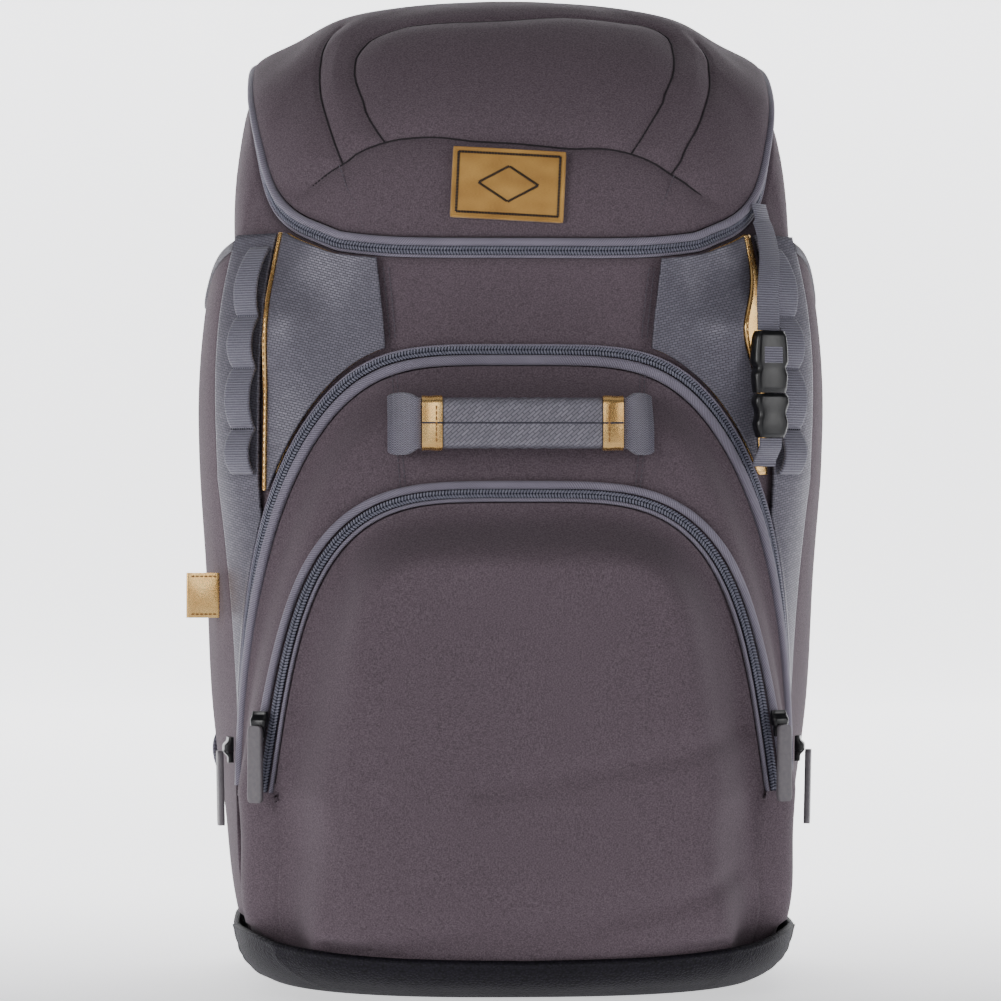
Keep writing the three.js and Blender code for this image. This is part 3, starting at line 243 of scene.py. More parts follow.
def grains(name, at, along, across, size, finish):
    """Rows of small like things, such as teeth or stitches: one grain copied to each place."""
    built = bmesh.new()
    bmesh.ops.create_icosphere(built, subdivisions=1, radius=0.5)
    grain = np.array([corner.co for corner in built.verts]) * 1.1
    grain = np.sign(grain) * np.abs(grain) ** 0.8 * np.array(size)
    while len(built.verts) < len(at) * len(grain):
        bmesh.ops.duplicate(built, geom=built.verts[:] + built.edges[:] + built.faces[:])
    built.verts.ensure_lookup_table()
    bmesh.ops.delete(built, geom=built.verts[len(at) * len(grain):], context="VERTS")
    up = unit(np.cross(along, across))
    turned = np.stack([along, across, up], 1)
    points = at[:, None, :] + np.einsum("gk,nkd->ngd", grain, turned)
    for corner, point in zip(built.verts, points.reshape(-1, 3) * MILLIMETRE):
        corner.co = point
    return finished(name, built, finish)


def stitches(name, line, facing, finish, pitch=3.2, size=(2.3, 0.55, 0.5), lift=0.1):
    """A row of stitches along a line that lies on cloth facing that way."""
    run = np.concatenate([[0], np.cumsum(np.linalg.norm(np.diff(line, axis=0), axis=1))])
    at = np.arange(pitch / 2, run[-1], pitch)
    spaced = np.stack([np.interp(at, run, line[:, k]) for k in range(3)], -1)
    ahead = np.stack([np.interp(at + 0.5, run, line[:, k]) for k in range(3)], -1)
    behind = np.stack([np.interp(at - 0.5, run, line[:, k]) for k in range(3)], -1)
    facing = np.broadcast_to(facing, line.shape)
    out = unit(np.stack([np.interp(at, run, facing[:, k]) for k in range(3)], -1))
    along = unit(ahead - behind)
    return grains(name, spaced + out * lift, along, unit(np.cross(out, along)), size, finish)


class Value:
    """A socket of a finish. Arithmetic on it adds Math nodes."""

    def __init__(self, finish, socket):
        self.finish = finish
        self.socket = socket

    def math(self, operation, first, second=0.0):
        return self.finish.node("Math", {"operation": operation}, {0: first, 1: second})

    def __add__(self, other):
        return self.math("ADD", self, other)

    def __sub__(self, other):
        return self.math("SUBTRACT", self, other)

    def __rsub__(self, other):
        return self.math("SUBTRACT", other, self)

    def __mul__(self, other):
        return self.math("MULTIPLY", self, other)

    def __truediv__(self, other):
        return self.math("DIVIDE", self, other)

    def __pow__(self, other):
        return self.math("POWER", self, other)

    def sine(self):
        return self.math("SINE", self)

    __radd__ = __add__
    __rmul__ = __mul__


class Finish:
    """A material: its fixed values, and a method that makes every node of it."""

    def __init__(self, name, **fixed):
        self.material = bpy.data.materials.new(name)
        self.material.use_nodes = True
        self.nodes = self.material.node_tree.nodes
        self.shader = self.nodes["Principled BSDF"]
        for socket, value in fixed.items():
            self.shader.inputs[socket.replace("_", " ")].default_value = value

    def plug(self, socket, value):
        if isinstance(value, Value):
            self.material.node_tree.links.new(value.socket, socket)
        elif socket.type == "RGBA":
            socket.default_value = (*value, 1.0)
        else:
            socket.default_value = value

    def node(self, kind, settings, sockets, out=0):
        made = self.nodes.new("ShaderNode" + kind)
        for name, value in settings.items():
            if name == "stops":
                for place, share in value:
                    at = made.color_ramp.elements.new(place)
                    at.color = (share, share, share, 1.0)
                made.color_ramp.elements.remove(made.color_ramp.elements[0])
                made.color_ramp.elements.remove(made.color_ramp.elements[-1])
            else:
                setattr(made, name, value)
        for name, value in sockets.items():
            self.plug(made.inputs[name], value)
        return Value(self, made.outputs[out])

    def place(self):
        return self.node("TexCoord", {}, {}, out="Object")

    def run(self):
        return self.node("UVMap", {"uv_map": "run"}, {})

    def mapped(self, vector, scale=(1, 1, 1), turn=0.0, shift=(0, 0, 0)):
        sockets = {"Vector": vector, "Scale": scale, "Rotation": (0, 0, turn), "Location": shift}
        return self.node("Mapping", {}, sockets)

    def noise(self, vector, scale=1.0, detail=1.0):
        return self.node("TexNoise", {}, {"Vector": vector, "Scale": scale, "Detail": detail})

    def split(self, vector):
        parts = self.node("SeparateXYZ", {}, {"Vector": vector})
        sockets = parts.socket.node.outputs
        return [Value(self, sockets[k]) for k in range(3)]

    def between(self, value, low, high, start=0.0, end=1.0):
        sockets = {"Value": value, "From Min": low, "From Max": high, "To Min": start, "To Max": end}
        return self.node("MapRange", {"interpolation_type": "SMOOTHSTEP"}, sockets)

    def tint(self, share, dark, light):
        return self.node("Mix", {"data_type": "RGBA"}, {0: share, 6: dark, 7: light}, out=2)

    def dress(self, **sockets):
        for name, value in sockets.items():
            self.plug(self.shader.inputs[name.replace("_", " ")], value)

    def emboss(self, height, distance, strength=1.0):
        relief = {"Height": height, "Distance": distance, "Strength": strength}
        self.dress(Normal=self.node("Bump", {}, relief))


def tone(red, green, blue):
    """A colour as a swatch card names it, 0 to 255."""
    shares = [value / 255 for value in (red, green, blue)]
    return tuple(share / 12.92 if share <= 0.04045 else ((share + 0.055) / 1.055) ** 2.4 for share in shares)


def woven(name, dark, light, roughness=0.85):
    """A plain weave of dull yarns, a little uneven in colour."""
    cloth = Finish(name, Roughness=roughness, Sheen_Weight=0.06, Sheen_Roughness=0.5, Specular_IOR_Level=0.2)
    place = cloth.place()
    warp = cloth.noise(cloth.mapped(place, (1000, 1000, 3000)))
    weft = cloth.noise(cloth.mapped(place, (3000, 3000, 1000)))
    yarns = cloth.between(warp + weft, 0.7, 1.3)
    faded = cloth.noise(place, 9, 2)
    cloth.dress(Base_Color=cloth.tint(yarns * 0.85 + faded * 0.2 - 0.02, dark, light))
    cloth.emboss(yarns, 0.00012, 0.6)
    return cloth


cloth = woven("mauve_nylon", tone(74, 63, 70), tone(108, 95, 103))
thread = Finish("mauve_thread", Roughness=0.7)
thread_place = thread.noise(thread.place(), 900, 1)
thread.dress(Base_Color=thread.tint(thread_place, tone(58, 52, 60), tone(96, 90, 100)))


BOOT_WIDTH, BOOT_FRONT, BOOT_BACK, BOOT_RIM, BOOT_WALL = 288, 152, 101, 28, 3
BOOT_ROWS = [
    (0, 0.89, 0.815, 0.88, 2.6), (0.12, 0.93, 0.86, 0.92, 2.7), (0.4, 0.972, 0.94, 0.965, 3.0),
    (0.7, 0.99, 0.98, 0.99, 3.3), (1, 1, 1, 1, 3.4),
]
BOOT_RIM_ROWS = [(0, 0.69), (25, 0.75), (42, 0.88), (55, 1.03), (75, 1), (120, 1), (180, 1.05)]
TRAY_JOINTS = [-72, -46, 37, 66]


def boot_at(turn, up, wall=0.0):
    rim = BOOT_RIM * through(BOOT_RIM_ROWS, np.degrees(np.abs(turn)))
    radius = reach(
        turn,
        BOOT_WIDTH / 2 * through(BOOT_ROWS, up, 1) - wall,
        BOOT_FRONT * through(BOOT_ROWS, up, 2) - wall,
        BOOT_BACK * through(BOOT_ROWS, up, 3) - wall,
        through(BOOT_ROWS, up, 4),
    )
    return around(turn, radius, np.maximum(up * rim, wall))


def tray_room(round_, height):
    """How far a place on the body may stand off and stay inside the tray."""
    start = body_at(round_, height)
    out = outward(round_, height)
    inside, outside = np.full(len(start), -40.0), np.full(len(start), 120.0)
    for _ in range(16):
        lift = (inside + outside) / 2
        at = start + out * lift[:, None]
        turn = np.arctan2(at[:, 0], -at[:, 1])
        rim = BOOT_RIM * through(BOOT_RIM_ROWS, np.degrees(np.abs(turn)))
        wall = boot_at(turn, np.minimum(1, np.minimum(height, BOOT_RIM) / rim), BOOT_WALL)
        fits = np.hypot(at[:, 0], at[:, 1]) < np.hypot(wall[:, 0], wall[:, 1])
        inside, outside = np.where(fits, lift, inside), np.where(fits, outside, lift)
    turn = np.arctan2(start[:, 0], -start[:, 1])
    rim = BOOT_RIM * through(BOOT_RIM_ROWS, np.degrees(np.abs(turn)))
    return inside - 2 * CLEAR + 5 * eased(height - rim, 9) + 0.9 * np.maximum(0, height - BOOT_RIM)


CORNER_FILL = {
    "front": GUSSET_BACK + 9, "blend": 6, "back": SLEEVE_BACK + 10, "fade": 20,
    "low": 22, "rise": 9, "most": 16,
}
PANEL_STITCHES = {"low": 326, "high": 362, "insets": (2.4, 5.2)}


def compartment(s, t):
    round_ = (2 * s - 1) * HALF_ROUND
    height = BODY_FOOT + (rim_height(turn_at(round_)) - BODY_FOOT) * t
    sides = [-SLEEVE_BACK, -GUSSET_BACK, GUSSET_BACK, SLEEVE_BACK]
    seam = sum(np.exp(-(((round_ - side) / 1.6) ** 2)) for side in sides)
    slack = 0.5 * np.sin(height / 31 + round_ / 47) * np.sin(height / 17 - round_ / 23)
    beside = eased(np.abs(round_) - CORNER_FILL["front"], CORNER_FILL["blend"])
    before = eased(CORNER_FILL["back"] - np.abs(round_), CORNER_FILL["fade"])
    under = 1 - eased(height - CORNER_FILL["low"], CORNER_FILL["rise"])
    swell = beside * before * under * np.clip(tray_room(round_, height) - 1, 0, CORNER_FILL["most"])
    return lifted(round_, height, -0.9 * seam + slack - 0.5 + swell), np.stack([round_, height], -1)


panel("compartment_cloth", 240, 64, compartment, CLOTH, cloth, ["body_shell"], ring=True)
for side in (-1, 1):
    for inset in PANEL_STITCHES["insets"]:
        heights = np.linspace(PANEL_STITCHES["low"], PANEL_STITCHES["high"], 40)
        rounds = np.full(40, side * (PANEL_SEAM - inset))
        line = lifted(rounds, heights, 0.3)
        name = "panel_stitches_%s_%d" % ("right" if side > 0 else "left", inset)
        stitches(name, line, outward(rounds, heights), thread, 2.6, (1.9, 0.5, 0.4))

# Base tray: a moulded tray of dark coated fabric with a fine grain, turned up into a rim that the cloth is
# sewn into. Raised welts cross its rim where its corners are folded and joined.
tray_finish = Finish("tray_grain", Specular_IOR_Level=0.2)
tray_place = tray_finish.place()
tray_pits = tray_finish.node(
    "TexVoronoi", {"feature": "F1"}, {"Vector": tray_finish.mapped(tray_place, (1, 1, 1)), "Scale": 760}
)
tray_wear = tray_finish.noise(tray_place, 25, 4)
tray_finish.dress(
    Base_Color=tray_finish.tint(tray_pits * 0.9 + tray_wear * 0.3, tone(30, 26, 38), tone(4, 3, 7)),
    Roughness=0.58 + tray_wear * 0.16,
)
tray_finish.emboss(1 - tray_pits, 0.0005, 0.9)


TRAY_FLOOR = 0.35
TRAY_JOINT = {"slant": 4, "height": 0.9, "width": 0.8}


def tray(s, t):
    turn = (2 * s - 1) * math.pi
    risen = (t - TRAY_FLOOR) / (1 - TRAY_FLOOR)
    slant = TRAY_JOINT["slant"] * (1 - eased(risen) ** 0.7)
    points = boot_at(turn, np.clip(risen, 0, 1))
    points[:, :2] *= np.where(t < TRAY_FLOOR, t / TRAY_FLOOR, 1)[:, None]
    gap = np.min([np.abs(np.degrees(turn) - joint - slant) for joint in TRAY_JOINTS], axis=0)
    ridge = TRAY_JOINT["height"] * np.exp(-((gap / TRAY_JOINT["width"]) ** 2)) * eased((t - TRAY_FLOOR) / 0.1)
    lip = 0.3 * np.exp(-(((1 - t) / 0.035) ** 2))
    points[:, :2] += unit(points[:, :2]) * (ridge + lip)[:, None]
    return points, np.stack([turn * 130, t * 60], -1)


panel("tray_cloth", 300, 40, tray, BOOT_WALL, tray_finish, ["base_boot"], ring=True,
      inside=(0, 0, 25))

# Middle pocket: a deep pocket under an arched zip, its front padded so that it stands off the compartment.
# The cloth is cut wide and eased into the welt, and two stitched seams run down its front.
MIDDLE = {
    "span": 163, "lean": 0.29, "foot": 100, "top": 323, "square": 4.2, "tuck": 0.03,
    "bulge": 20, "slope": 32,
}
POCKET_FOOT = 17
CHAIN_WIDTH, WELT_WIDTH, ZIP_THICKNESS, WELT_THICKNESS = 5.2, 4.4, 3, 4.4
BAND = CHAIN_WIDTH + WELT_WIDTH + 2 * SEAM
ZIP_END = {"below": 12, "fade": 72}
COLUMN_BLEND = 70


def band_at(arch, height):
    """How much of the zip's band a pocket's cloth leaves free: all of it above the zip's ends, none below."""
    return BAND * (1 - eased(arch["foot"] - ZIP_END["below"] - height, ZIP_END["fade"]))


def arch_place(arch, share, inset):
    """Where a station of an arched border lies, from the left leg's foot over the top to the right's."""
    turn = np.pi * (1 - share)
    soften = lambda value: np.sign(value) * np.abs(value) ** (2 / arch["square"])
    up = soften(np.sin(turn))
    ends = (share == 0) | (share == 1)
    across = np.where(ends, np.sign(share - 0.5), soften(np.cos(turn)))
    round_ = across * (arch["span"] - inset) * (1 - arch["lean"] * up)
    return round_, arch["foot"] + (arch["top"] - inset - arch["foot"]) * up, across


def arch_width(arch, height, inset=0.0):
    up = np.maximum(0, (height - arch["foot"]) / (arch["top"] - inset - arch["foot"]))
    tuck = arch["tuck"] * np.maximum(0, (arch["foot"] - height) / arch["foot"])
    return (arch["span"] - inset) * (1 - arch["lean"] * up) * (1 - tuck)


def inside_arch(arch, round_, height):
    up = np.maximum(0, (height - arch["foot"]) / (arch["top"] - arch["foot"]))
    wide = arch_width(arch, height)
    share = np.abs(round_) / np.maximum(wide, 1)
    gauge = np.maximum((share ** arch["square"] + up ** arch["square"]) ** (1 / arch["square"]), 0.05)
    slope_across = (share / gauge) ** (arch["square"] - 1) / np.maximum(wide, 1)
    slope_up = (up / gauge) ** (arch["square"] - 1) / (arch["top"] - arch["foot"])
    steepness = np.maximum(np.hypot(slope_across, slope_up), 1e-5)
    return np.where(wide <= 1, -arch["span"], (1 - gauge) / steepness)


def middle_lift(round_, height):
    inside = inside_arch(MIDDLE, round_, height) - band_at(MIDDLE, height)
    own = CLEAR + CLOTH + MIDDLE["bulge"] * eased(inside, MIDDLE["slope"])
    return np.minimum(own, tray_room(round_, height) - CLOTH - 2 * CLEAR)


def arch_shares(arch, count):
    """Stations at even distances along an arched border."""
    share = np.linspace(0, 1, 2001)
    round_, height, _ = arch_place(arch, share, 0)
    run = np.concatenate([[0], np.cumsum(np.hypot(np.diff(round_), np.diff(height)))])
    return np.interp(np.linspace(0, run[-1], count + 1), run, share)


def pocket_front(arch, lift_at, details):
    """The cloth of an arched pocket's front, with seams and folds pressed in or out of it."""
    shares = arch_shares(arch, 200)

    def place(s, t):
        share = np.interp(s, np.linspace(0, 1, 201), shares)
        _, top, across = arch_place(arch, share, BAND + SEAM)
        height = POCKET_FOOT + (top - POCKET_FOOT) * (1 - (1 - t) ** 1.5)
        across = across + (2 * s - 1 - across) * eased(top - height, COLUMN_BLEND)
        round_ = across * arch_width(arch, height, band_at(arch, height) + SEAM)
        points = lifted(round_, height, lift_at(round_, height))
        return points + outward(round_, height) * details(points)[:, None], np.stack([round_, height], -1)

    return place


MIDDLE_SEAM = np.array([(66, 326), (64, 290), (62, 262), (58, 225)])
MIDDLE_SEAMS = [line_through(MIDDLE_SEAM * (side, 1), 24) for side in (-1, 1)]


def middle_details(points):
    flat = points[:, [0, 2]]
    seams = sum(np.exp(-((off_line(flat, line) / 1.7) ** 2)) for line in MIDDLE_SEAMS)
    slack = np.sin(points[:, 2] / 24 + points[:, 0] / 60) * np.sin(points[:, 0] / 37 + 1)
    return -0.8 * seams + 0.4 * slack


middle_place = pocket_front(MIDDLE, middle_lift, middle_details)
panel("middle_pocket_cloth", 200, 90, middle_place, CLOTH, cloth, ["middle_pocket"])
for k, line in enumerate(MIDDLE_SEAMS):
    for inset in (-4.4, -2.0):
        across, height = line[:, 0] + inset * (1 if k else -1), line[:, 1]
        kept = (height < 311) & (height > 228)
        across, height = across[kept], height[kept]
        run = lifted(across, height, middle_lift(across, height) + 0.1)
        name = "middle_stitches_%d_%d" % (k, round(-inset))
        stitches(name, run, outward(across, height), thread, 2.6, (1.9, 0.5, 0.4))

# Zips: coil chains of two rows of grey teeth on a navy tape. A padded welt of diagonal twill is sewn
# along each, and a thin cord of piping along its other edge.
tape = Finish("navy_tape", Roughness=0.75)
tape_run = tape.split(tape.run())
tape_rib = (tape_run[0] * 9.0).sine() * 0.5 + 0.5
tape.dress(Base_Color=tape.tint(tape_rib, tone(22, 23, 34), tone(48, 49, 66)))
tape.emboss(tape_rib, 0.0001)
teeth_finish = Finish("grey_teeth", Roughness=0.42)
teeth_worn = teeth_finish.noise(teeth_finish.place(), 700, 2)
teeth_finish.dress(Base_Color=teeth_finish.tint(teeth_worn, tone(74, 75, 92), tone(134, 134, 150)))
welt_finish = Finish("twill_welt", Roughness=0.72, Sheen_Weight=0.2, Sheen_Roughness=0.4)
welt_run = welt_finish.split(welt_finish.run())
welt_twill = ((welt_run[0] + welt_run[1] * 0.8) * 5.0).sine() * 0.5 + 0.5
welt_worn = welt_finish.noise(welt_finish.place(), 60, 3)
welt_shade = welt_twill * 0.7 + welt_worn * 0.5
welt_finish.dress(Base_Color=welt_finish.tint(welt_shade, tone(88, 82, 96), tone(142, 136, 152)))
welt_finish.emboss(welt_twill, 0.00018)


def arch_frames(arch, base_at, inset, lift, count):
    shares = arch_shares(arch, count)
    at = []
    for offset in (-0.5, 0, 0.5):
        round_, height, _ = arch_place(arch, shares, inset + offset)
        at.append(lifted(round_, height, base_at(round_, height) + CLEAR + lift))
    round_, height, _ = arch_place(arch, shares, inset)
    across = unit(at[2] - at[0])
    out = outward(round_, height)
    return at[1], across, unit(out - across * np.sum(out * across, axis=1, keepdims=True))


def rim_frames(up, out, count=640):
    """The zip line round the compartment's upper edge, shifted up and out."""
    round_ = np.linspace(-HALF_ROUND, HALF_ROUND, count + 1)
    edge = lambda place: body_at(place, rim_height(turn_at(place)))
    along = unit(edge(round_ + 1) - edge(round_ - 1))
    away = unit(np.stack([along[:, 1], -along[:, 0], 0 * along[:, 0]], -1))
    rising = unit(np.cross(away, along))
    return edge(round_) + rising * up + away * out, rising, away


def chain(name, frames, width):
    """Two rows of slanting teeth along a zip's frames."""
    at, across, up = frames
    run = np.concatenate([[0], np.cumsum(np.linalg.norm(np.diff(at, axis=0), axis=1))])
    places = np.arange(1, run[-1] - 0.5, 1.55)
    spaced = [np.stack([np.interp(places, run, each[:, k]) for k in range(3)], -1) for each in frames]
    along = unit(np.cross(spaced[1], spaced[2]))
    ahead = np.stack([np.interp(places + 0.3, run, at[:, k]) for k in range(3)], -1)
    along *= np.sign(np.sum(along * (ahead - spaced[0]), axis=1, keepdims=True))
    rows = [(side, spaced[0] + spaced[1] * side * width * 0.27) for side in (-1, 1)]
    tilted = np.concatenate([unit(spaced[1] + along * side * 0.55) for side, _ in rows])
    centre = np.concatenate([place for _, place in rows])
    level = unit(np.cross(tilted, np.concatenate([spaced[2]] * 2)))
    return grains(name, centre, tilted, level, (width * 0.52, 0.95, 1.3), teeth_finish)


def zip_line(prefix, band, ring, chain_node, welt_node, layout):
    """A zip's tape, teeth, welt and piping. layout gives each one's middle across the band, and width."""
    chain_at, chain_wide = layout["chain"]
    tape_frames = band(chain_at, ZIP_THICKNESS * 0.35)
    tape_rail = rail(*tape_frames, rounded(chain_wide, 1.2, 0.3, 1), ring)
    finished(prefix + "_tape", tape_rail, tape, [chain_node])
    chain(prefix + "_teeth", band(chain_at, ZIP_THICKNESS * 0.35 + 0.75), chain_wide)
    welt_at, welt_wide, welt_high = layout["welt"]
    welt_rail = rail(*band(welt_at, welt_high / 2), rounded(welt_wide, welt_high, welt_high * 0.42), ring)
    finished(prefix + "_padded_welt", welt_rail, welt_finish, [welt_node])
    cord_at, cord_wide, cord_high = layout["piping"]
    cord_rail = rail(*band(cord_at, cord_high / 2), rounded(cord_wide, cord_high, cord_wide * 0.45), ring)
    finished(prefix + "_piping", cord_rail, welt_finish)


middle_band = lambda inset, lift: arch_frames(MIDDLE, lambda r, h: 0 * r, inset, lift, 420)
zip_line("middle", middle_band, False, "middle_zip", "middle_welt",
         {"chain": (2.6, 4.4), "welt": (7.7, 5.2, 4.2), "piping": (0.2, 1.0, 2.2)})

# Front pocket: the moulded pocket that lies on the middle one. Foam behind its cloth holds a raised plateau
# with sloping flanks, and pressed folds curve across its lower part.
POCKET = {
    "span": 124, "lean": 0.15, "foot": 100, "top": 254.5, "square": 4.2, "tuck": 0.08,
    "bulge": 32, "slope": 34,
}
POCKET_FOLDS = [
    ([(-94, 22), (-40, 27), (18, 34), (57, 44), (86, 51), (105, 61)], 3.2, 5.5),
    ([(-21, 104), (32, 113), (86, 124), (108, 131)], 2.4, 6.0),
    ([(-87, 226), (-88, 197), (-90, 148), (-92, 70), (-94, 30)], 1.2, 5.0),
    ([(96, 226), (103, 197), (108, 148), (117, 70), (122, 51)], 1.5, 5.0),
]


def front_lift(round_, height):
    inside = inside_arch(POCKET, round_, height) - band_at(POCKET, height)
    base = middle_lift(round_, height) + CLEAR + CLOTH
    own = POCKET["bulge"] * eased(inside, POCKET["slope"])
    return np.minimum(base + own, np.maximum(tray_room(round_, height), base))


def front_details(points):
    flat = points[:, [0, 2]]
    pressed = 0
    for line, depth, width in POCKET_FOLDS:
        away = off_line(flat, line_through(line, 40))
        pressed = pressed - depth * np.exp(-((away / width) ** 2))
    return pressed + 0.35 * np.sin(points[:, 2] / 29) * np.sin(points[:, 0] / 41)


front_place = pocket_front(POCKET, front_lift, front_details)
panel("front_pocket_cloth", 200, 90, front_place, CLOTH, cloth, ["front_pocket"])
front_band = lambda inset, lift: arch_frames(POCKET, middle_lift, inset, lift, 360)
zip_line("front", front_band, False, "front_zip", "front_welt",
         {"chain": (6.1, 4.2), "welt": (1.8, 4.0, 3.6), "piping": (9.2, 1.9, 2.6)})

# Side pockets: a front of carbon-look coated cloth on each front corner, sewn to the front panel and open
# at its back edge. Beside the opening a gusset of the same cloth carries on round the corner.
SLEEVE_BULGE, SLEEVE_FOOT, SLEEVE_MOUTH, SLEEVE_PEAK, GUSSET_TOP = 18.5, 32, 345, 372, 380
POCKET_EDGE, MOUTH_DEPTH, MOUTH_OPEN = {-1: 126, 1: 121}, {-1: 6, 1: 13}, {-1: 2, 1: 13}
MOUTH_LOW, MOUTH_BEND = 283, 4
LINING, PIPING, TRIM_WIDTH, WEBBING, WEBBING_THICKNESS = 1, 2.6, 5, 25, 1.8
SLEEVE_ACROSS = [
    (0, 0), (0.08, 0.16), (0.18, 0.42), (0.3, 0.72), (0.45, 0.97), (0.55, 1), (0.75, 0.75), (0.9, 0.3),
    (1, 0),
]
SLEEVE_UP = [(0, 0.05), (0.12, 0.3), (0.3, 0.6), (0.55, 0.8), (0.8, 0.93), (0.9, 0.88), (1, 0.66), (1.1, 0.3)]
MOUTH_ROWS = [(0, 1), (0.2, 0.6), (0.4, 0), (0.75, 0.25), (1, 0.9)]
SIDES = [("left", -1), ("right", 1)]


def sleeve_front(height, least):
    up = np.clip((height - MIDDLE["foot"]) / (MIDDLE["top"] - MIDDLE["foot"]), 0, 1)
    shoulder = (1 - up ** MIDDLE["square"]) ** (1 / MIDDLE["square"])
    return np.maximum(least, arch_width(MIDDLE, height) * shoulder + 4 * CLEAR)


def sleeve_lift(round_, height):
    front = sleeve_front(height, SLIT)
    across = (np.abs(round_) - front) / (SLEEVE_BACK - front)
    up = (height - SLEEVE_FOOT) / (SLEEVE_MOUTH - SLEEVE_FOOT)
    return CLEAR + CLOTH + SLEEVE_BULGE * through(SLEEVE_ACROSS, across) * through(SLEEVE_UP, up)


def border_height(round_):
    inside = np.full(round_.shape, float(MIDDLE["foot"]))
    outside = np.full(round_.shape, float(MIDDLE["top"]))
    for _ in range(16):
        height = (inside + outside) / 2
        within = inside_arch(MIDDLE, round_, height) > 0
        inside, outside = np.where(within, height, inside), np.where(within, outside, height)
    return inside + 4 * CLEAR


def panel_top(round_):
    return np.minimum(GUSSET_TOP, rim_height(turn_at(round_)) - CLEAR)


def mouth_share(height):
    top = panel_top(np.array([float(SLIT)]))[0]
    share = np.clip((height - MOUTH_LOW) / (top - MOUTH_LOW), 0, 1)
    return np.abs(np.sin(np.pi * share)) ** MOUTH_BEND


def side_pocket_place(side, across, up):
    start = PANEL_SEAM + (POCKET_EDGE[side] - PANEL_SEAM) * across
    low = border_height(start)
    height = low + (panel_top(start) - low) * up
    opened = mouth_share(height) * across**2
    stand = MOUTH_DEPTH[side] * mouth_share(height) * eased(across - 0.35, 0.65)
    return start - MOUTH_OPEN[side] * opened, height, stand


POCKET_BASE = CLEAR + LINING + SEAM
carbon = Finish("carbon_cloth", Metallic=0.25, Coat_Weight=0.03, Coat_Roughness=0.3, Specular_IOR_Level=0.3)
carbon_run = carbon.mapped(carbon.run(), turn=math.radians(-14))
carbon_bricks = carbon.node(
    "TexBrick",
    {"offset": 0.5},
    {"Vector": carbon_run, "Scale": 1.0, "Color1": (0.7, 0.7, 0.7), "Color2": (1, 1, 1),
     "Mortar": (0.2, 0.2, 0.2), "Mortar Size": 0.24, "Mortar Smooth": 0.8, "Bias": 0.0,
     "Brick Width": 2.6, "Row Height": 1.25},
)
carbon_rub = carbon.noise(carbon.place(), 30, 4)
carbon_tone = carbon_bricks * 0.85 + carbon_rub * 0.14
carbon.dress(
    Base_Color=carbon.tint(carbon_tone, tone(40, 38, 46), tone(120, 117, 129)),
    Roughness=0.5 - carbon_bricks * 0.12,
)
carbon.emboss(carbon_bricks, 0.0002, 0.8)
for name, side in SIDES:

    def side_front(s, t, side=side):
        round_, height, stand = side_pocket_place(side, s, t)
        sag = 1.1 * np.sin(height / 13 + 2 * s) * mouth_share(height)
        ripple = (0.5 + 0.3 * side) * np.sin(height / 9 + 5.5 * s) * eased(height - 250, 60)
        lift = POCKET_BASE + stand + CLOTH + np.sin(np.pi * s) * (sag + ripple)
        return lifted(side * round_, height, lift), np.stack([round_, height], -1)

    def gusset(s, t, side=side):
        start = SLIT + 2 * PIPING
        round_ = start + (GUSSET_BACK - start) * s
        low = border_height(round_)
        height = low + (panel_top(round_) - low) * t
        return lifted(side * round_, height, sleeve_lift(round_, height)), np.stack([round_, height], -1)

    panel("carbon_front_" + name, 60, 80, side_front, CLOTH, carbon, ["side_pocket_" + name])
    panel("carbon_gusset_" + name, 32, 80, gusset, CLOTH, carbon, ["side_gusset_" + name])

# Gold trim of the side pockets: a thin roll of metallic leather binds each opening's edge, and the pocket
# is lined with the same leather, which shows where the opening stands away from the gusset.
gold = Finish("gold_leather", Metallic=0.9)
gold_place = gold.place()
gold_grain = gold.noise(gold_place, 1900, 3)
gold_folds_and_shade = gold.noise(gold_place, 90, 3)
# The base colour follows the fold noise that also raises the bump: painted shade in the folds' hollows and
# painted highlight on their crowns.
gold.dress(
    Base_Color=gold.tint(gold_folds_and_shade, tone(196, 140, 70), tone(252, 216, 150)),
    Roughness=0.17 + gold_grain * 0.18,
)
gold.emboss(gold_grain * 0.4 + gold_folds_and_shade * 0.6, 0.00015, 0.6)
thread_gold = Finish("gold_thread", Roughness=0.4, Metallic=0.2)
thread_gold_twist = thread_gold.noise(thread_gold.place(), 900)
thread_gold.dress(Base_Color=thread_gold.tint(thread_gold_twist, tone(116, 78, 34), tone(170, 122, 60)))
for name, side in SIDES:
    up = np.linspace(0, 1, 90)
    round_, height, stand = side_pocket_place(side, np.ones(90), up)
    edge = lifted(side * (round_ + SEAM + PIPING / 2), height, POCKET_BASE + stand + PIPING / 2)
    facing = outward(side * round_, height)
    bound = rail(edge, *carried(edge, facing), rounded(PIPING * 0.9, PIPING, 1.1))
    finished("gold_roll_" + name, bound, gold, ["gold_edge_" + name])
    stitches("roll_stitches_" + name, edge + facing * PIPING / 2, facing, thread_gold, 3.2,
             (2.0, 0.6, 0.4), 0.05)

    def lining(s, t, side=side):
        round_ = PANEL_SEAM + (SLIT - PANEL_SEAM) * s + PIPING
        low = np.maximum(border_height(round_), MOUTH_LOW - WEBBING)
        height = low + (panel_top(round_) - low) * t
        crease = 0.35 * np.sin(height / 6.5 + 3 * s) * np.sin(np.pi * s)
        return lifted(side * round_, height, CLEAR + LINING + crease), np.stack([round_, height], -1)

    panel("gold_lining_" + name, 40, 60, lining, LINING, gold, ["pocket_lining_" + name])

# Bat sleeves: an upright sleeve of the main cloth on each side, behind the gusset, open at the top for a
# bat's barrel. A folded grey tape binds its mouth.
trim_finish = woven("grey_binding", tone(104, 102, 108), tone(146, 144, 150))


def sleeve_place(across, height):
    start = sleeve_front(height, GUSSET_BACK + SEAM)
    round_ = start + (SLEEVE_BACK - start) * across
    return round_, sleeve_lift(round_, height)


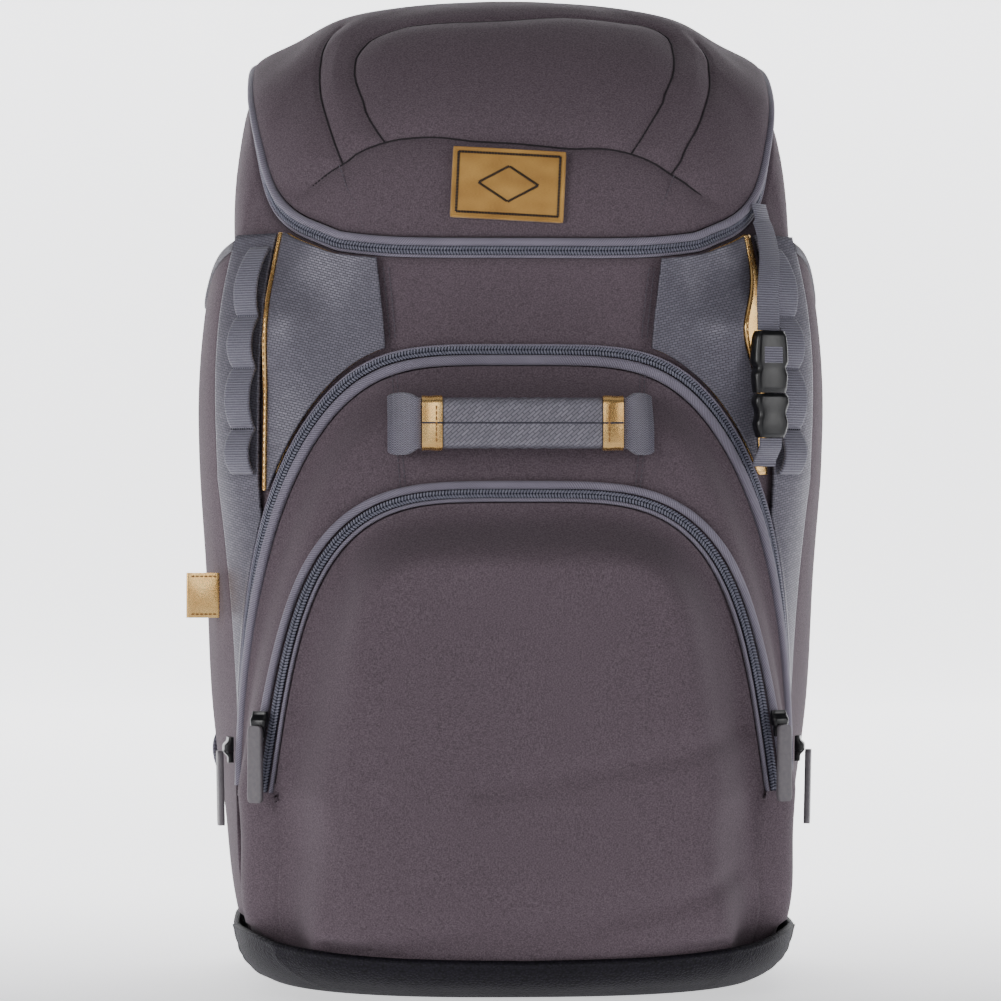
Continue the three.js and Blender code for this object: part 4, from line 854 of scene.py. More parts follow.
def mouth_height(across):
    return SLEEVE_MOUTH + (SLEEVE_PEAK - SLEEVE_MOUTH) * through(MOUTH_ROWS, across)


for name, side in SIDES:

    def sleeve(s, t, side=side):
        height = SLEEVE_FOOT + (mouth_height(s) - SLEEVE_FOOT) * t
        round_, lift = sleeve_place(s, height)
        slack = 0.9 * np.sin(height / 26 + 3 * s) * np.sin(np.pi * s) * np.sin(height / 61)
        return lifted(side * round_, height, lift + slack - 0.4), np.stack([round_, height], -1)

    def trim(s, t, side=side):
        height = mouth_height(s) + SEAM + t * TRIM_WIDTH
        round_, lift = sleeve_place(s, height)
        return lifted(side * round_, height, lift + 0.4 * np.sin(np.pi * t)), np.stack([round_, height], -1)

    panel("sleeve_cloth_" + name, 70, 80, sleeve, CLOTH, cloth, ["bat_sleeve_" + name])
    panel("sleeve_binding_" + name, 90, 6, trim, CLOTH, trim_finish, ["sleeve_trim_" + name])

# Daisy chains: a run of grosgrain webbing up each gusset, bar-tacked at intervals so that it stands off in
# loops between the tacks.
DAISY = {"front": 131.5, "back": 142.5, "low": 258, "top": 373, "stand": 5}
DAISY_TACKS = [281, 312, 338]
grosgrain = Finish("grey_grosgrain", Roughness=0.7, Sheen_Weight=0.2, Sheen_Roughness=0.4)
ribs_run = grosgrain.split(grosgrain.run())
ribs = (ribs_run[0] * (2 * math.pi / 1.25)).sine() * 0.5 + 0.5
yarn = grosgrain.noise(grosgrain.mapped(grosgrain.run(), (0.6, 3.2, 1)), 1.0, 2)
grosgrain.dress(
    Base_Color=grosgrain.tint(ribs * 0.6 + yarn * 0.7 - 0.15, tone(72, 70, 82), tone(134, 132, 146)),
)
grosgrain.emboss(ribs + yarn * 0.6, 0.00025)
tack_thread = Finish("dark_thread", Roughness=0.6)
tack_twist = tack_thread.noise(tack_thread.place(), 1200, 1)
tack_thread.dress(Base_Color=tack_thread.tint(tack_twist, tone(30, 29, 38), tone(70, 68, 82)))
for name, side in SIDES:
    tacks = np.array([DAISY["low"], *DAISY_TACKS, DAISY["top"]], float)

    def daisy(s, t, side=side):
        height = DAISY["low"] + (DAISY["top"] - DAISY["low"]) * t
        loop = np.clip(np.searchsorted(tacks, height, side="right") - 1, 0, len(tacks) - 2)
        share = (height - tacks[loop]) / (tacks[loop + 1] - tacks[loop])
        round_ = DAISY["front"] + (DAISY["back"] - DAISY["front"]) * s
        stand = DAISY["stand"] * np.abs(np.sin(np.pi * share)) ** 0.7
        lift = sleeve_lift(round_, height) + CLEAR + stand + WEBBING_THICKNESS
        return lifted(side * round_, height, lift), np.stack([height, round_], -1)

    panel("loop_webbing_" + name, 12, 120, daisy, WEBBING_THICKNESS, grosgrain,
          ["daisy_chain_" + name])
    rows = []
    for tack in tacks[1:-1]:
        for nudge in (-0.8, 0.8):
            across = np.arange(DAISY["front"] + 1, DAISY["back"], 1.1)
            rows.append(np.stack([across, np.full(across.shape, tack + nudge)], -1))
    spots = np.concatenate(rows)
    lift = sleeve_lift(spots[:, 0], spots[:, 1]) + CLEAR + WEBBING_THICKNESS + 0.25
    at = lifted(side * spots[:, 0], spots[:, 1], lift)
    out = outward(side * spots[:, 0], spots[:, 1])
    upright = np.broadcast_to([0.0, 0.0, 1.0], out.shape)
    across = unit(np.cross(out, upright))
    grains("bar_tacks_" + name, at, upright, across, (2.0, 0.8, 0.8), tack_thread)

# Carrying handle: a padded grip of the carbon-look cloth between two cuffs of gold leather, on webbing that
# widens into a stitched root at each end.
GRIP = {"height": 283, "length": 78, "width": 25, "thickness": 9, "gap": 14}
CUFF = {"length": 10, "width": 27, "thickness": 10.5, "row": 19}
HANDLE_ROOT = {"across": 66, "width": 31}
grip_cloth = Finish("grip_twill", Metallic=0.3, Coat_Weight=0.1, Coat_Roughness=0.4)
grip_run = grip_cloth.mapped(grip_cloth.run(), turn=math.radians(42))
grip_bricks = grip_cloth.node(
    "TexBrick",
    {"offset": 0.5},
    {"Vector": grip_run, "Scale": 1.0, "Color1": (0.7, 0.7, 0.7), "Color2": (1, 1, 1),
     "Mortar": (0.1, 0.1, 0.1), "Mortar Size": 0.3, "Mortar Smooth": 1.0, "Bias": 0.0,
     "Brick Width": 5.0, "Row Height": 1.5},
)
grip_cloth.dress(
    Base_Color=grip_cloth.tint(grip_bricks, tone(58, 56, 65), tone(134, 131, 142)),
    Roughness=0.5 - grip_bricks * 0.1,
)
grip_cloth.emboss(grip_bricks, 0.0003, 0.8)
knit = Finish("herringbone_webbing", Roughness=0.8, Sheen_Weight=0.2)
knit_x, knit_y, _ = knit.split(knit.run())
knit_rows = (knit_x * 2.6).sine()
knit_ribs = ((knit_y + knit_rows * 0.55) * 5.4).sine() * 0.5 + 0.5
knit.dress(Base_Color=knit.tint(knit_ribs, tone(76, 73, 86), tone(132, 128, 142)))
knit.emboss(knit_ribs, 0.0003)
one = np.array([0.0])
handle_height = np.array([float(GRIP["height"])])
panel_face = -lifted(one, handle_height, middle_lift(one, handle_height))[0, 1]
grip_depth = panel_face + GRIP["gap"] + GRIP["thickness"] / 2


def handle_rail(places, sections):
    across = np.tile([0.0, 0.0, 1.0], (len(places), 1))
    up = np.tile([0.0, -1.0, 0.0], (len(places), 1))
    points = np.stack([places, np.full(len(places), -grip_depth), np.full(len(places), GRIP["height"])], -1)
    return rail(points, across, up, sections)


grip_half = GRIP["length"] / 2
grip_section = rounded(GRIP["width"], GRIP["thickness"], 4, 6)
grip_stations = np.linspace(-grip_half, grip_half, 60)
grip_swell = 1 + 0.015 * np.sin(np.arange(60) * 1.3) * np.hanning(60)
grip_shapes = grip_section[None] * grip_swell[:, None, None]
grip_rail = handle_rail(grip_stations, grip_shapes)
grip = finished("grip_sleeve", grip_rail, grip_cloth, ["handle_grip"])


def grip_seam(name, start, end, thickness):
    """The dark closing seam along the middle of the grip or of a cuff."""
    places = np.linspace(start, end, 30)
    face = np.full(30, -grip_depth - thickness / 2)
    line = np.stack([places, face, np.full(30, float(GRIP["height"]))], -1)
    seam = rail(line, *carried(line, np.array([0.0, -1.0, 0.0])), rounded(0.9, 0.7, 0.3, 2))
    finished("grip_seam_" + name, seam, tack_thread)


grip_seam("middle", -grip_half, grip_half, GRIP["thickness"])
for name, side in SIDES:
    start = grip_half + SEAM
    places = side * np.linspace(start, start + CUFF["length"], 24)
    bead = 1 + 0.012 * np.sin(np.linspace(0, 7, 24))
    shapes = rounded(CUFF["width"], CUFF["thickness"], 4, 6)[None] * bead[:, None, None]
    rise = np.linspace(-CUFF["row"] / 2, CUFF["row"] / 2, 20)
    row = np.full(20, side * (start + 0.3 * CUFF["length"]))
    seam = np.stack([row, np.full(20, -grip_depth - CUFF["thickness"] / 2), rise + GRIP["height"]], -1)
    stitches("cuff_stitches_" + name, seam, np.array([0.0, -1.0, 0.0]), thread_gold,
             2.6, (1.9, 0.8, 0.8), 0.45)
    grip_seam(name, side * start, side * (start + CUFF["length"]), CUFF["thickness"])
    finished("gold_cuff_" + name, handle_rail(places, shapes), gold, ["handle_cuff_" + name])
    web_start = start + CUFF["length"] + SEAM

    def web(s, t, side=side):
        across = web_start + (HANDLE_ROOT["across"] - web_start) * s
        width = GRIP["width"] + (HANDLE_ROOT["width"] - GRIP["width"]) * eased(s, 0.6)
        width = width * np.where(s > 0.75, 1 - 0.1 * ((s - 0.75) / 0.25) ** 2, 1)
        height = GRIP["height"] + (t - 0.5) * width
        root = side * across
        face = -lifted(root, height, middle_lift(root, height))[:, 1]
        depth = grip_depth + (face + 4 * CLEAR - grip_depth) * eased(s)
        return np.stack([root, -depth - WEBBING_THICKNESS, height], -1), np.stack([across, height], -1)

    panel("handle_root_" + name, 40, 30, web, WEBBING_THICKNESS, knit, ["handle_webbing_" + name])

# Lid: a domed, foam-padded cover of the main cloth. Quilting seams part it into an inner pad, two outer
# ones and a band along its front edge, and each is drawn down into the foam.
LID_ROUNDING, LID_SHOULDER, LID_BACKSET, LID_WALL = 2.15, 0.7, 15, 5
LID_SEAMS = {
    "pad": [(-69.5, 0.781), (-95, 0.668), (-119.5, 0.56), (-129.5, 0.504), (-132.5, 0.425), (-106, 0.339),
            (-13, 0.3), (63.5, 0.271), (149.5, 0.342), (158.5, 0.413), (154.5, 0.452), (137, 0.499),
            (100.5, 0.617), (76, 0.71), (56.5, 0.806)],
    "left": [(-98, 0.848), (-114.5, 0.757), (-141, 0.654), (-162.5, 0.592), (-179, 0.541), (-188.5, 0.474)],
    "right": [(80, 0.862), (101.5, 0.781), (129, 0.686), (157, 0.619), (171, 0.592), (179, 0.541)],
    "front": [(-136.5, 1), (-113.5, 0.912), (-98.5, 0.853), (-84, 0.808), (-70.5, 0.781), (-58, 0.767),
              (-39.5, 0.762), (-22.5, 0.772), (0.5, 0.779), (24, 0.791), (41.5, 0.791), (56.5, 0.806),
              (69, 0.831), (80, 0.865), (94.5, 0.904), (111, 0.968)],
    "left_end": [(-97.5, 0.853), (-83, 0.931), (-75, 0.998)],
    "right_end": [(79, 0.867), (68, 0.944), (58.5, 1.0)],
}


def lid_at(round_, ring):
    edge = body_at(round_, rim_height(turn_at(round_)))
    ahead = body_at(round_ + 1, rim_height(turn_at(round_ + 1)))
    behind = body_at(round_ - 1, rim_height(turn_at(round_ - 1)))
    along = unit(ahead - behind)
    away = unit(np.stack([along[:, 1], -along[:, 0], 0 * along[:, 0]], -1))
    edge = edge + unit(np.cross(away, along)) * (BAND + SEAM) - away
    beside = eased(np.degrees(np.abs(turn_at(round_))) - 50, 45)
    rounding = LID_ROUNDING - LID_SHOULDER * beside * eased(ring - 0.3, 0.5)
    spread_out = np.sin(ring * np.pi / 2) ** (2 / rounding)
    rounded_up = np.abs(np.cos(ring * np.pi / 2)) ** (2 / rounding)
    return np.stack([
        edge[:, 0] * spread_out,
        LID_BACKSET + (edge[:, 1] - LID_BACKSET) * spread_out,
        edge[:, 2] + (BAG_HEIGHT - edge[:, 2]) * rounded_up,
    ], -1)


def lid_line(points):
    stretched = line_through([(round_, ring * 250) for round_, ring in points], 60)
    return lid_at(stretched[:, 0], np.clip(stretched[:, 1] / 250, 0, 1))


seam_lines = {name: lid_line(points) for name, points in LID_SEAMS.items()}


QUILT = {"groove": 1.5, "groove_width": 1.8, "dip": 2.2, "dip_width": 9, "edge": 0.05}
LID_MIDDLE = np.array([0, LID_BACKSET, 390])


def lid(s, t):
    round_ = (2 * s - 1) * HALF_ROUND
    points = lid_at(round_, t)
    quilted = [line for name, line in seam_lines.items() if not name.endswith("end")]
    away = np.min([off_line(points, line) for line in quilted], axis=0)
    groove = QUILT["groove"] * np.exp(-((away / QUILT["groove_width"]) ** 2))
    dip = QUILT["dip"] * np.exp(-((away / QUILT["dip_width"]) ** 2))
    drawn = -(groove + dip) * (1 - np.exp(-(((1 - t) / QUILT["edge"]) ** 2)))
    out = unit(points - LID_MIDDLE)
    return points + out * drawn[:, None], np.stack([round_, t * 150], -1)


lid_cloth = panel("lid_padding", 360, 120, lid, LID_WALL, cloth, ["lid_shell"], ring=True,
                  inside=(0, 15, 420))
# Quilting lines: a thin dark strip laid at the bottom of each groove, painted shade of the cloth drawn into
# the seam.
seam_shade_paint = Finish("seam_fold_painted_shade", Roughness=0.9)
dark_weave = seam_shade_paint.noise(seam_shade_paint.place(), 400)
seam_shade_paint.dress(Base_Color=seam_shade_paint.tint(dark_weave, tone(26, 22, 26), tone(44, 38, 43)))
for name, line in seam_lines.items():
    facing = unit(line - LID_MIDDLE)
    if name.endswith("end"):
        stitches("lid_stitches_" + name, line - facing * 0.3, facing, thread, 2.6, (1.9, 0.5, 0.4))
    else:
        sunk = QUILT["groove"] + QUILT["dip"] - SEAM
        fold = rail(line - facing * sunk, *carried(line, facing), rounded(0.9, 0.6, 0.28, 2))
        finished("lid_seam_shade_" + name, fold, seam_shade_paint)
lid_band = lambda up, lift: rim_frames(up, lift - CLOTH)
zip_line("lid", lid_band, True, "lid_zip", "lid_welt",
         {"chain": (4.2, 4.2), "welt": (8.4, 4.0, 4.2), "piping": (1.2, 1.6, 2.4)})

# Patch: a rectangle of gold satin with an embroidered border, sewn to the lid's front a little askew.
PATCH = {"across": -5.6, "height": 402.8, "width": 56, "tall": 35.5, "thickness": 1.4, "turn": 3}


def lid_face(across, height):
    """Depth of the lid's front face at places across and up it."""

    def top_over(depth):
        heading = np.arctan2(across, LID_BACKSET - depth)
        near, far = np.full(len(across), -HALF_ROUND), np.full(len(across), HALF_ROUND)
        for _ in range(14):
            round_ = (near + far) / 2
            edge = lid_at(round_, np.ones(len(across)))
            before = np.arctan2(edge[:, 0], LID_BACKSET - edge[:, 1]) < heading
            near, far = np.where(before, round_, near), np.where(before, far, round_)
        edge = lid_at(near, np.ones(len(across)))
        share = np.hypot(across, depth - LID_BACKSET) / np.hypot(edge[:, 0], edge[:, 1] - LID_BACKSET)
        rise = (1 - np.minimum(1, share) ** LID_ROUNDING) ** (1 / LID_ROUNDING)
        return edge[:, 2] + (BAG_HEIGHT - edge[:, 2]) * rise

    low, high = np.full(len(across), -FRONT_DEPTH * 1.3), np.full(len(across), float(LID_BACKSET))
    for _ in range(14):
        depth = (low + high) / 2
        under = top_over(depth) < height
        low, high = np.where(under, depth, low), np.where(under, high, depth)
    return low


satin = Finish("gold_satin", Roughness=0.45, Metallic=0.25, Sheen_Weight=0.3)
satin_yarn = satin.noise(satin.mapped(satin.run(), (0.9, 5.5, 1)), 1.0, 2)
satin_painted_sheen = satin.noise(satin.mapped(satin.run(), (0.05, 0.09, 1)), 1.0, 1)
# A broad noise lightens the satin's base colour in soft patches: painted sheen.
satin.dress(
    Base_Color=satin.tint(satin_yarn * 0.5 + satin_painted_sheen * 0.9 - 0.2, tone(140, 92, 30), tone(222, 172, 88)),
)
satin.emboss(satin_yarn, 0.00016)


def patch(s, t):
    turn = math.radians(-PATCH["turn"])
    a, u = (s - 0.5) * PATCH["width"], (t - 0.5) * PATCH["tall"]
    across = PATCH["across"] + a * math.cos(turn) - u * math.sin(turn)
    height = PATCH["height"] + a * math.sin(turn) + u * math.cos(turn)
    depth = lid_face(across, height) - 1.2 * CLEAR - PATCH["thickness"]
    to_edge = np.minimum(PATCH["width"] / 2 - np.abs(a), PATCH["tall"] / 2 - np.abs(u))
    swell = 0.5 * np.exp(-((to_edge / 0.84) ** 2))
    return np.stack([across, depth - swell, height], -1), np.stack([a, u], -1)


panel("satin_patch", 80, 50, patch, PATCH["thickness"], satin, ["front_patch"])
black_thread = Finish("black_thread", Roughness=0.55)
black_twist = black_thread.noise(black_thread.place(), 1500, 1)
black_thread.dress(Base_Color=black_thread.tint(black_twist, tone(18, 15, 16), tone(52, 44, 40)))


def on_patch(places):
    shares = np.stack([places[:, 0] / PATCH["width"] + 0.5, places[:, 1] / PATCH["tall"] + 0.5], -1)
    points, _ = patch(shares[:, 0], shares[:, 1])
    return points + np.array([0, -0.2, 0])


half = np.array([PATCH["width"] / 2 - 2.6, PATCH["tall"] / 2 - 2.6])
corners = half * [(-1, -1), (1, -1), (1, 1), (-1, 1)]
runs = [np.linspace(corners[k], corners[(k + 1) % 4], 60) for k in range(4)]
lozenge = np.array([(-15, 0), (0, -9), (15, 0), (0, 9)])
runs += [np.linspace(lozenge[k], lozenge[(k + 1) % 4], 30) for k in range(4)]
for k, run in enumerate(runs):
    line = on_patch(run)
    facing = np.array([0.0, -1.0, 0.35])
    stitches("patch_stitches_%d" % k, line, facing, black_thread, 0.75, (0.6, 1.3, 0.5))

# Side tag: a strip of gold leather folded over and caught in the left gusset's seam.
TAG = {"round": 164, "low": 185, "tall": 23, "length": 17, "thickness": 2}
tag_round, tag_low = np.array([-float(TAG["round"])]), np.array([float(TAG["low"])])
tag_root = lifted(tag_round, tag_low, sleeve_lift(tag_round, tag_low))[0]


def tag(s, t):
    turn = 2 * math.pi * s
    reach_out = TAG["length"] / 2 * (1 - np.cos(turn))
    thick = TAG["thickness"] / 2 * np.sign(np.sin(turn)) * np.abs(np.sin(turn)) ** 0.35
    across = tag_root[0] - 4 * CLEAR - reach_out
    bow = 0.5 * np.sin(np.pi * t)
    depth = tag_root[1] + TAG["thickness"] / 2 + thick - bow
    rise = TAG["tall"] * t
    return np.stack([across, depth, TAG["low"] + rise], -1), np.stack([reach_out, rise], -1)


tag_built = spread(64, 24, tag)
bmesh.ops.remove_doubles(tag_built, verts=tag_built.verts[:], dist=1e-6)
bmesh.ops.holes_fill(tag_built, edges=[edge for edge in tag_built.edges if edge.is_boundary], sides=0)
bmesh.ops.recalc_face_normals(tag_built, faces=tag_built.faces[:])
finished("gold_tag", tag_built, gold, ["side_tag"])
for level in (1.8, TAG["tall"] - 1.8):
    across = tag_root[0] - 4 * CLEAR - np.linspace(1.5, TAG["length"] - 2, 20)
    seam = np.stack([across, np.full(20, tag_root[1] - 0.15), np.full(20, TAG["low"] + level)], -1)
    stitches("tag_stitches_%d" % level, seam, np.array([0.0, -1.0, 0.0]), thread_gold, 2.2,
             (1.6, 0.8, 0.7), 0.3)

# Bat strap: a narrow grosgrain strap down the right side that closes round a bat's handle with a small
# moulded side-release buckle.
BAT_STRAP = {"width": 13, "top": 396, "low": 262, "topRound": 136, "lowRound": 120, "drawnIn": 0.4}
BUCKLE = {"width": 20, "thickness": 8, "top": 330, "socket": 31, "plug": 22}


def strap_frames(height, stand):
    share = (BAT_STRAP["top"] - height) / (BAT_STRAP["top"] - BAT_STRAP["low"])
    drawn_in = BAT_STRAP["lowRound"] - BAT_STRAP["topRound"]
    round_ = BAT_STRAP["topRound"] + drawn_in * eased(share, BAT_STRAP["drawnIn"])
    lift = sleeve_lift(round_, np.minimum(height, GUSSET_TOP - 1)) * (1 - eased(height - GUSSET_TOP, WEBBING))
    out = outward(round_, height)
    at = body_at(round_, height) + out * (lift + stand)[:, None]
    return at, unit(np.cross(np.array([0.0, 0.0, 1.0]), out)), out


buckle_low = BUCKLE["top"] - BUCKLE["socket"] - SEAM - BUCKLE["plug"]
strap_off = DAISY["stand"] + 2 * WEBBING_THICKNESS + 5 * CLEAR


def strap_stand(height):
    leaving = eased(BAT_STRAP["top"] - height, 2 * WEBBING)
    return 2 * CLEAR + strap_off * leaving * (0.5 + 0.5 * eased(height - BAT_STRAP["low"], WEBBING / 2))


strap_section = rounded(BAT_STRAP["width"], WEBBING_THICKNESS, 0.7, 2) + np.array([0, WEBBING_THICKNESS / 2])
for name, high, low in (
    ("upper", BAT_STRAP["top"], BUCKLE["top"] + SEAM),
    ("lower", buckle_low - SEAM, BAT_STRAP["low"]),
):
    heights = np.linspace(high, low, 40)
    strip = rail(*strap_frames(heights, strap_stand(heights)), strap_section)
    finished("bat_webbing_" + name, strip, grosgrain, ["bat_strap_" + name])

gloss_black = Finish("black_moulding", Coat_Weight=0.1, Coat_Roughness=0.2)
moulded = gloss_black.noise(gloss_black.place(), 400, 2)
gloss_black.dress(
    Base_Color=gloss_black.tint(moulded, tone(7, 7, 9), tone(17, 17, 20)),
    Roughness=0.24 + moulded * 0.16,
)
gloss_black.emboss(moulded, 0.00005)


def buckle_half(high, low, widths):
    middle = np.array([(high + low) / 2])
    at, across, up = strap_frames(middle, strap_stand(middle))
    heights = np.linspace(high, low, 40)
    points = at + np.array([0.0, 0.0, 1.0]) * (heights - middle)[:, None]
    wide = through(widths, np.linspace(0, 1, 40))
    thick = through([(0, 0.75), (0.08, 1), (0.92, 1), (1, 0.8)], np.linspace(0, 1, 40))
    section = rounded(BUCKLE["width"], BUCKLE["thickness"], 3, 3)
    shapes = section[None] * np.stack([wide, thick], -1)[:, None, :]
    shapes[..., 1] += WEBBING_THICKNESS / 2
    return rail(points, np.repeat(across, 40, 0), np.repeat(up, 40, 0), shapes)


socket_low = BUCKLE["top"] - BUCKLE["socket"]
SOCKET_WIDTHS = [(0, 0.8), (0.12, 0.92), (0.5, 1), (0.6, 0.86), (0.72, 0.98), (1, 0.9)]
PLUG_WIDTHS = [(0, 0.9), (0.2, 1), (0.45, 0.82), (0.7, 0.94), (1, 0.75)]
socket = buckle_half(BUCKLE["top"], socket_low, SOCKET_WIDTHS)
finished("buckle_body", socket, gloss_black, ["buckle_socket"])
plug = buckle_half(socket_low - SEAM, buckle_low, PLUG_WIDTHS)
finished("buckle_prongs", plug, gloss_black, ["buckle_plug"])
heights = np.linspace(BUCKLE["top"] - 8, BUCKLE["top"] - 16, 12)
at, across, up = strap_frames(heights, strap_stand(np.full(12, BUCKLE["top"] - BUCKLE["socket"] / 2)))
wrap = rail(at + up * (BUCKLE["thickness"] / 2 + WEBBING_THICKNESS / 2), across, up, rounded(11, 1.2, 0.5, 2))
finished("buckle_webbing", wrap, grosgrain)

# Sliders: a black slider at the lower end of each pocket zip's legs, with a moulded grey pull that hangs
# from its loop and has a raised rim round a sunken face.
PULL = {"width": 8.4, "length": 38, "thickness": 3}
SLIDER = {"width": 9, "length": 13, "thickness": 5}
SLIDER_ABOVE_FOOT = {"middle": 18, "front": 34}
PULL_LAP = 6
PULL_ENDS = np.linspace(0, 0.06, 8)
pull_rubber = Finish("grey_rubber", Coat_Weight=0.05)
pull_rub = pull_rubber.noise(pull_rubber.place(), 500, 3)
pull_rubber.dress(
    Base_Color=pull_rubber.tint(pull_rub, tone(88, 84, 90), tone(116, 111, 114)),
    Roughness=0.45 + pull_rub * 0.2,
)
pull_rubber.emboss(pull_rub, 0.00006)
for name, arch, base_at in (("middle", MIDDLE, lambda r, h: 0 * r), ("front", POCKET, middle_lift)):
    for side_name, side in SIDES:
        high = arch["foot"] + SLIDER_ABOVE_FOOT[name]
        round_ = side * arch_width(arch, np.array([float(high)]), CHAIN_WIDTH / 2)
        out = outward(round_, np.array([float(high)]))
        across = unit(np.cross(np.array([0.0, 0.0, 1.0]), out))

        def on_cloth(height):
            heights = np.array([float(height)])
            return lifted(round_, heights, base_at(round_, heights) + WELT_THICKNESS + 1.3 * CLEAR)

        half = SLIDER["length"] / 2
        top, foot = on_cloth(high + half), on_cloth(high - PULL["length"])
        fall = (foot - top) / (PULL["length"] + half)
        top = top + fall * half
        drops = np.linspace(-SLIDER["length"] / 2, SLIDER["length"] / 2, 24)
        share = np.linspace(-1, 1, 24)
        wide = np.where(share < 0.2, 1 - 0.25 * np.abs(share + 0.4) ** 1.5, 0.62 - 0.1 * share)
        high_up = 0.55 + 0.45 * np.exp(-(((share + 0.1) / 0.5) ** 4))
        section = rounded(SLIDER["width"], SLIDER["thickness"], 1.6, 3)
        section = section + np.array([0, SLIDER["thickness"] / 2])
        shapes = section[None] * np.stack([wide, high_up], -1)[:, None, :]
        body = rail(top + fall * drops[:, None], np.repeat(across, 24, 0), np.repeat(out, 24, 0), shapes)
        tail = "%s_%s" % (name, side_name)
        finished("slider_" + tail, body, gloss_black, ["zip_slider_" + tail])

        stations = np.concatenate([PULL_ENDS, np.linspace(0.08, 0.94, 30), 1 - PULL_ENDS[::-1] * 5 / 6])
        drops = SLIDER["length"] / 2 - PULL_LAP + PULL["length"] * stations
        ends = np.minimum(stations, 1 - stations) * PULL["length"]
        wide = 0.62 + 0.38 * np.sqrt(np.clip(1 - (1 - np.clip(ends / 3.0, 0, 1)) ** 2, 0, 1))
        wide *= 0.9 + 0.1 * stations
        section = rounded(PULL["width"], PULL["thickness"], 1.1, 3)
        shapes = np.repeat(section[None], len(stations), 0)
        dish = np.exp(-((shapes[..., 0] / (PULL["width"] * 0.28)) ** 6)) * (shapes[..., 1] > 0)
        dish = dish * (np.exp(-(((stations - 0.55) / 0.36) ** 12)))[:, None]
        shapes[..., 1] = shapes[..., 1] + PULL["thickness"] / 2 - 0.7 * dish
        shapes[..., 0] *= wide[:, None]
        at = top + fall * drops[:, None] + out * (SLIDER["thickness"] + SEAM)
        pull = rail(at, np.repeat(across, len(at), 0), np.repeat(out, len(at), 0), shapes)
        finished("pull_" + tail, pull, pull_rubber, ["zip_pull_" + tail])

for side_name, side in SIDES:
    round_ = np.array([side * (HALF_ROUND - 116.0)])
    edge = lambda place: body_at(place, rim_height(turn_at(place)))
    along = unit(edge(round_ + 1) - edge(round_ - 1))
    away = unit(np.stack([along[:, 1], -along[:, 0], 0 * along[:, 0]], -1))
    rising = unit(np.cross(away, along))
    middle = edge(round_) + rising * (SEAM + CHAIN_WIDTH / 2) + away * (ZIP_THICKNESS - CLOTH + CLEAR)
    drops = np.linspace(-SLIDER["length"] / 2, SLIDER["length"] / 2, 20)
    section = rounded(SLIDER["width"] / 2, SLIDER["thickness"], 1.2, 3)
    section = section + np.array([0, SLIDER["thickness"] / 2])
    taper = 1 - 0.3 * np.abs(np.linspace(-1, 1, 20)) ** 3
    shapes = section[None] * np.stack([np.ones(20), taper], -1)[:, None, :]
    body = rail(middle + along * drops[:, None], np.repeat(rising, 20, 0), np.repeat(away, 20, 0), shapes)
    finished("lid_slider_body_" + side_name, body, gloss_black, ["lid_slider_" + side_name])

# Back pads: three pads of foam under spacer mesh, two tall ones beside the spine and one across the
# lumbar, each stitched down round its edge.
BACK_PAD = {"inside": 8, "outside": 82, "low": 150, "high": 436, "thickness": 11}
LUMBAR = {"outside": 95, "low": 50, "high": 138}
PAD_EDGE, PAD_RIM, PAD_GROOVE = 14, 0.35, 3.5
PAD_CHANNELS = [208, 266, 324, 382]
mesh_cloth = Finish("spacer_mesh", Roughness=0.9, Sheen_Weight=0.2)
mesh_run = mesh_cloth.mapped(mesh_cloth.run(), (0.42, 0.42, 1), turn=0.4)
mesh_grid = {"Vector": mesh_run, "Scale": 1.0, "Randomness": 0.15}
mesh_holes = mesh_cloth.node("TexVoronoi", {"feature": "F1"}, mesh_grid)
mesh_open = mesh_cloth.between(mesh_holes, 0.2, 0.45)
mesh_cloth.dress(Base_Color=mesh_cloth.tint(mesh_open, tone(16, 15, 19), tone(66, 63, 71)))
mesh_cloth.emboss(mesh_open, 0.0006)


def pad(left, right, low, high):
    def place(s, t):
        a, u = 0.5 - 0.5 * np.cos(np.pi * s), 0.5 - 0.5 * np.cos(np.pi * t)
        across, height = left + (right - left) * a, low + (high - low) * u
        inside = np.minimum(np.minimum(a, 1 - a) * (right - left), np.minimum(u, 1 - u) * (high - low))
        channel = sum(np.exp(-(((height - level) / 2.5) ** 2)) for level in PAD_CHANNELS)
        crown = BACK_PAD["thickness"] * (PAD_RIM + (1 - PAD_RIM) * eased(inside, PAD_EDGE))
        crown = crown - PAD_GROOVE * channel * eased(inside, 6)
        return lifted(HALF_ROUND - across, height, CLEAR + crown), np.stack([across, height], -1)

    return place


for name, bounds in (
    ("right", (BACK_PAD["inside"], BACK_PAD["outside"], BACK_PAD["low"], BACK_PAD["high"])),
    ("left", (-BACK_PAD["outside"], -BACK_PAD["inside"], BACK_PAD["low"], BACK_PAD["high"])),
    ("lumbar", (-LUMBAR["outside"], LUMBAR["outside"], LUMBAR["low"], LUMBAR["high"])),
):
    made = panel("mesh_pad_" + name, 44, 90, pad(*bounds), 3.0, mesh_cloth, ["back_pad_" + name])

# Shoulder straps: curved padded straps from the back's top down to a ladder lock each, and a haul loop of
# webbing between their tops.
SHOULDER_STRAP = {
    "top": 456, "bottom": 192, "inside": 49, "outside": 100, "width": 58, "thickness": 9, "bow": 22,
}
LADDER_LOCK = {"width": 35, "tall": 24, "thickness": 5, "bar": 4}
LOWER_ANCHOR = {"round": 286, "height": 72}
LOWER_HANG = {"fall": 10, "low": 32, "aside": 10, "bow": 30, "bowAbove": 38, "close": 4, "closeAbove": 6}
HAUL_LOOP = {"half": 17, "height": 456, "stand": 24, "width": 9}


def back_face(height):
    return body_at(np.full(np.shape(height), HALF_ROUND), height)[..., 1]


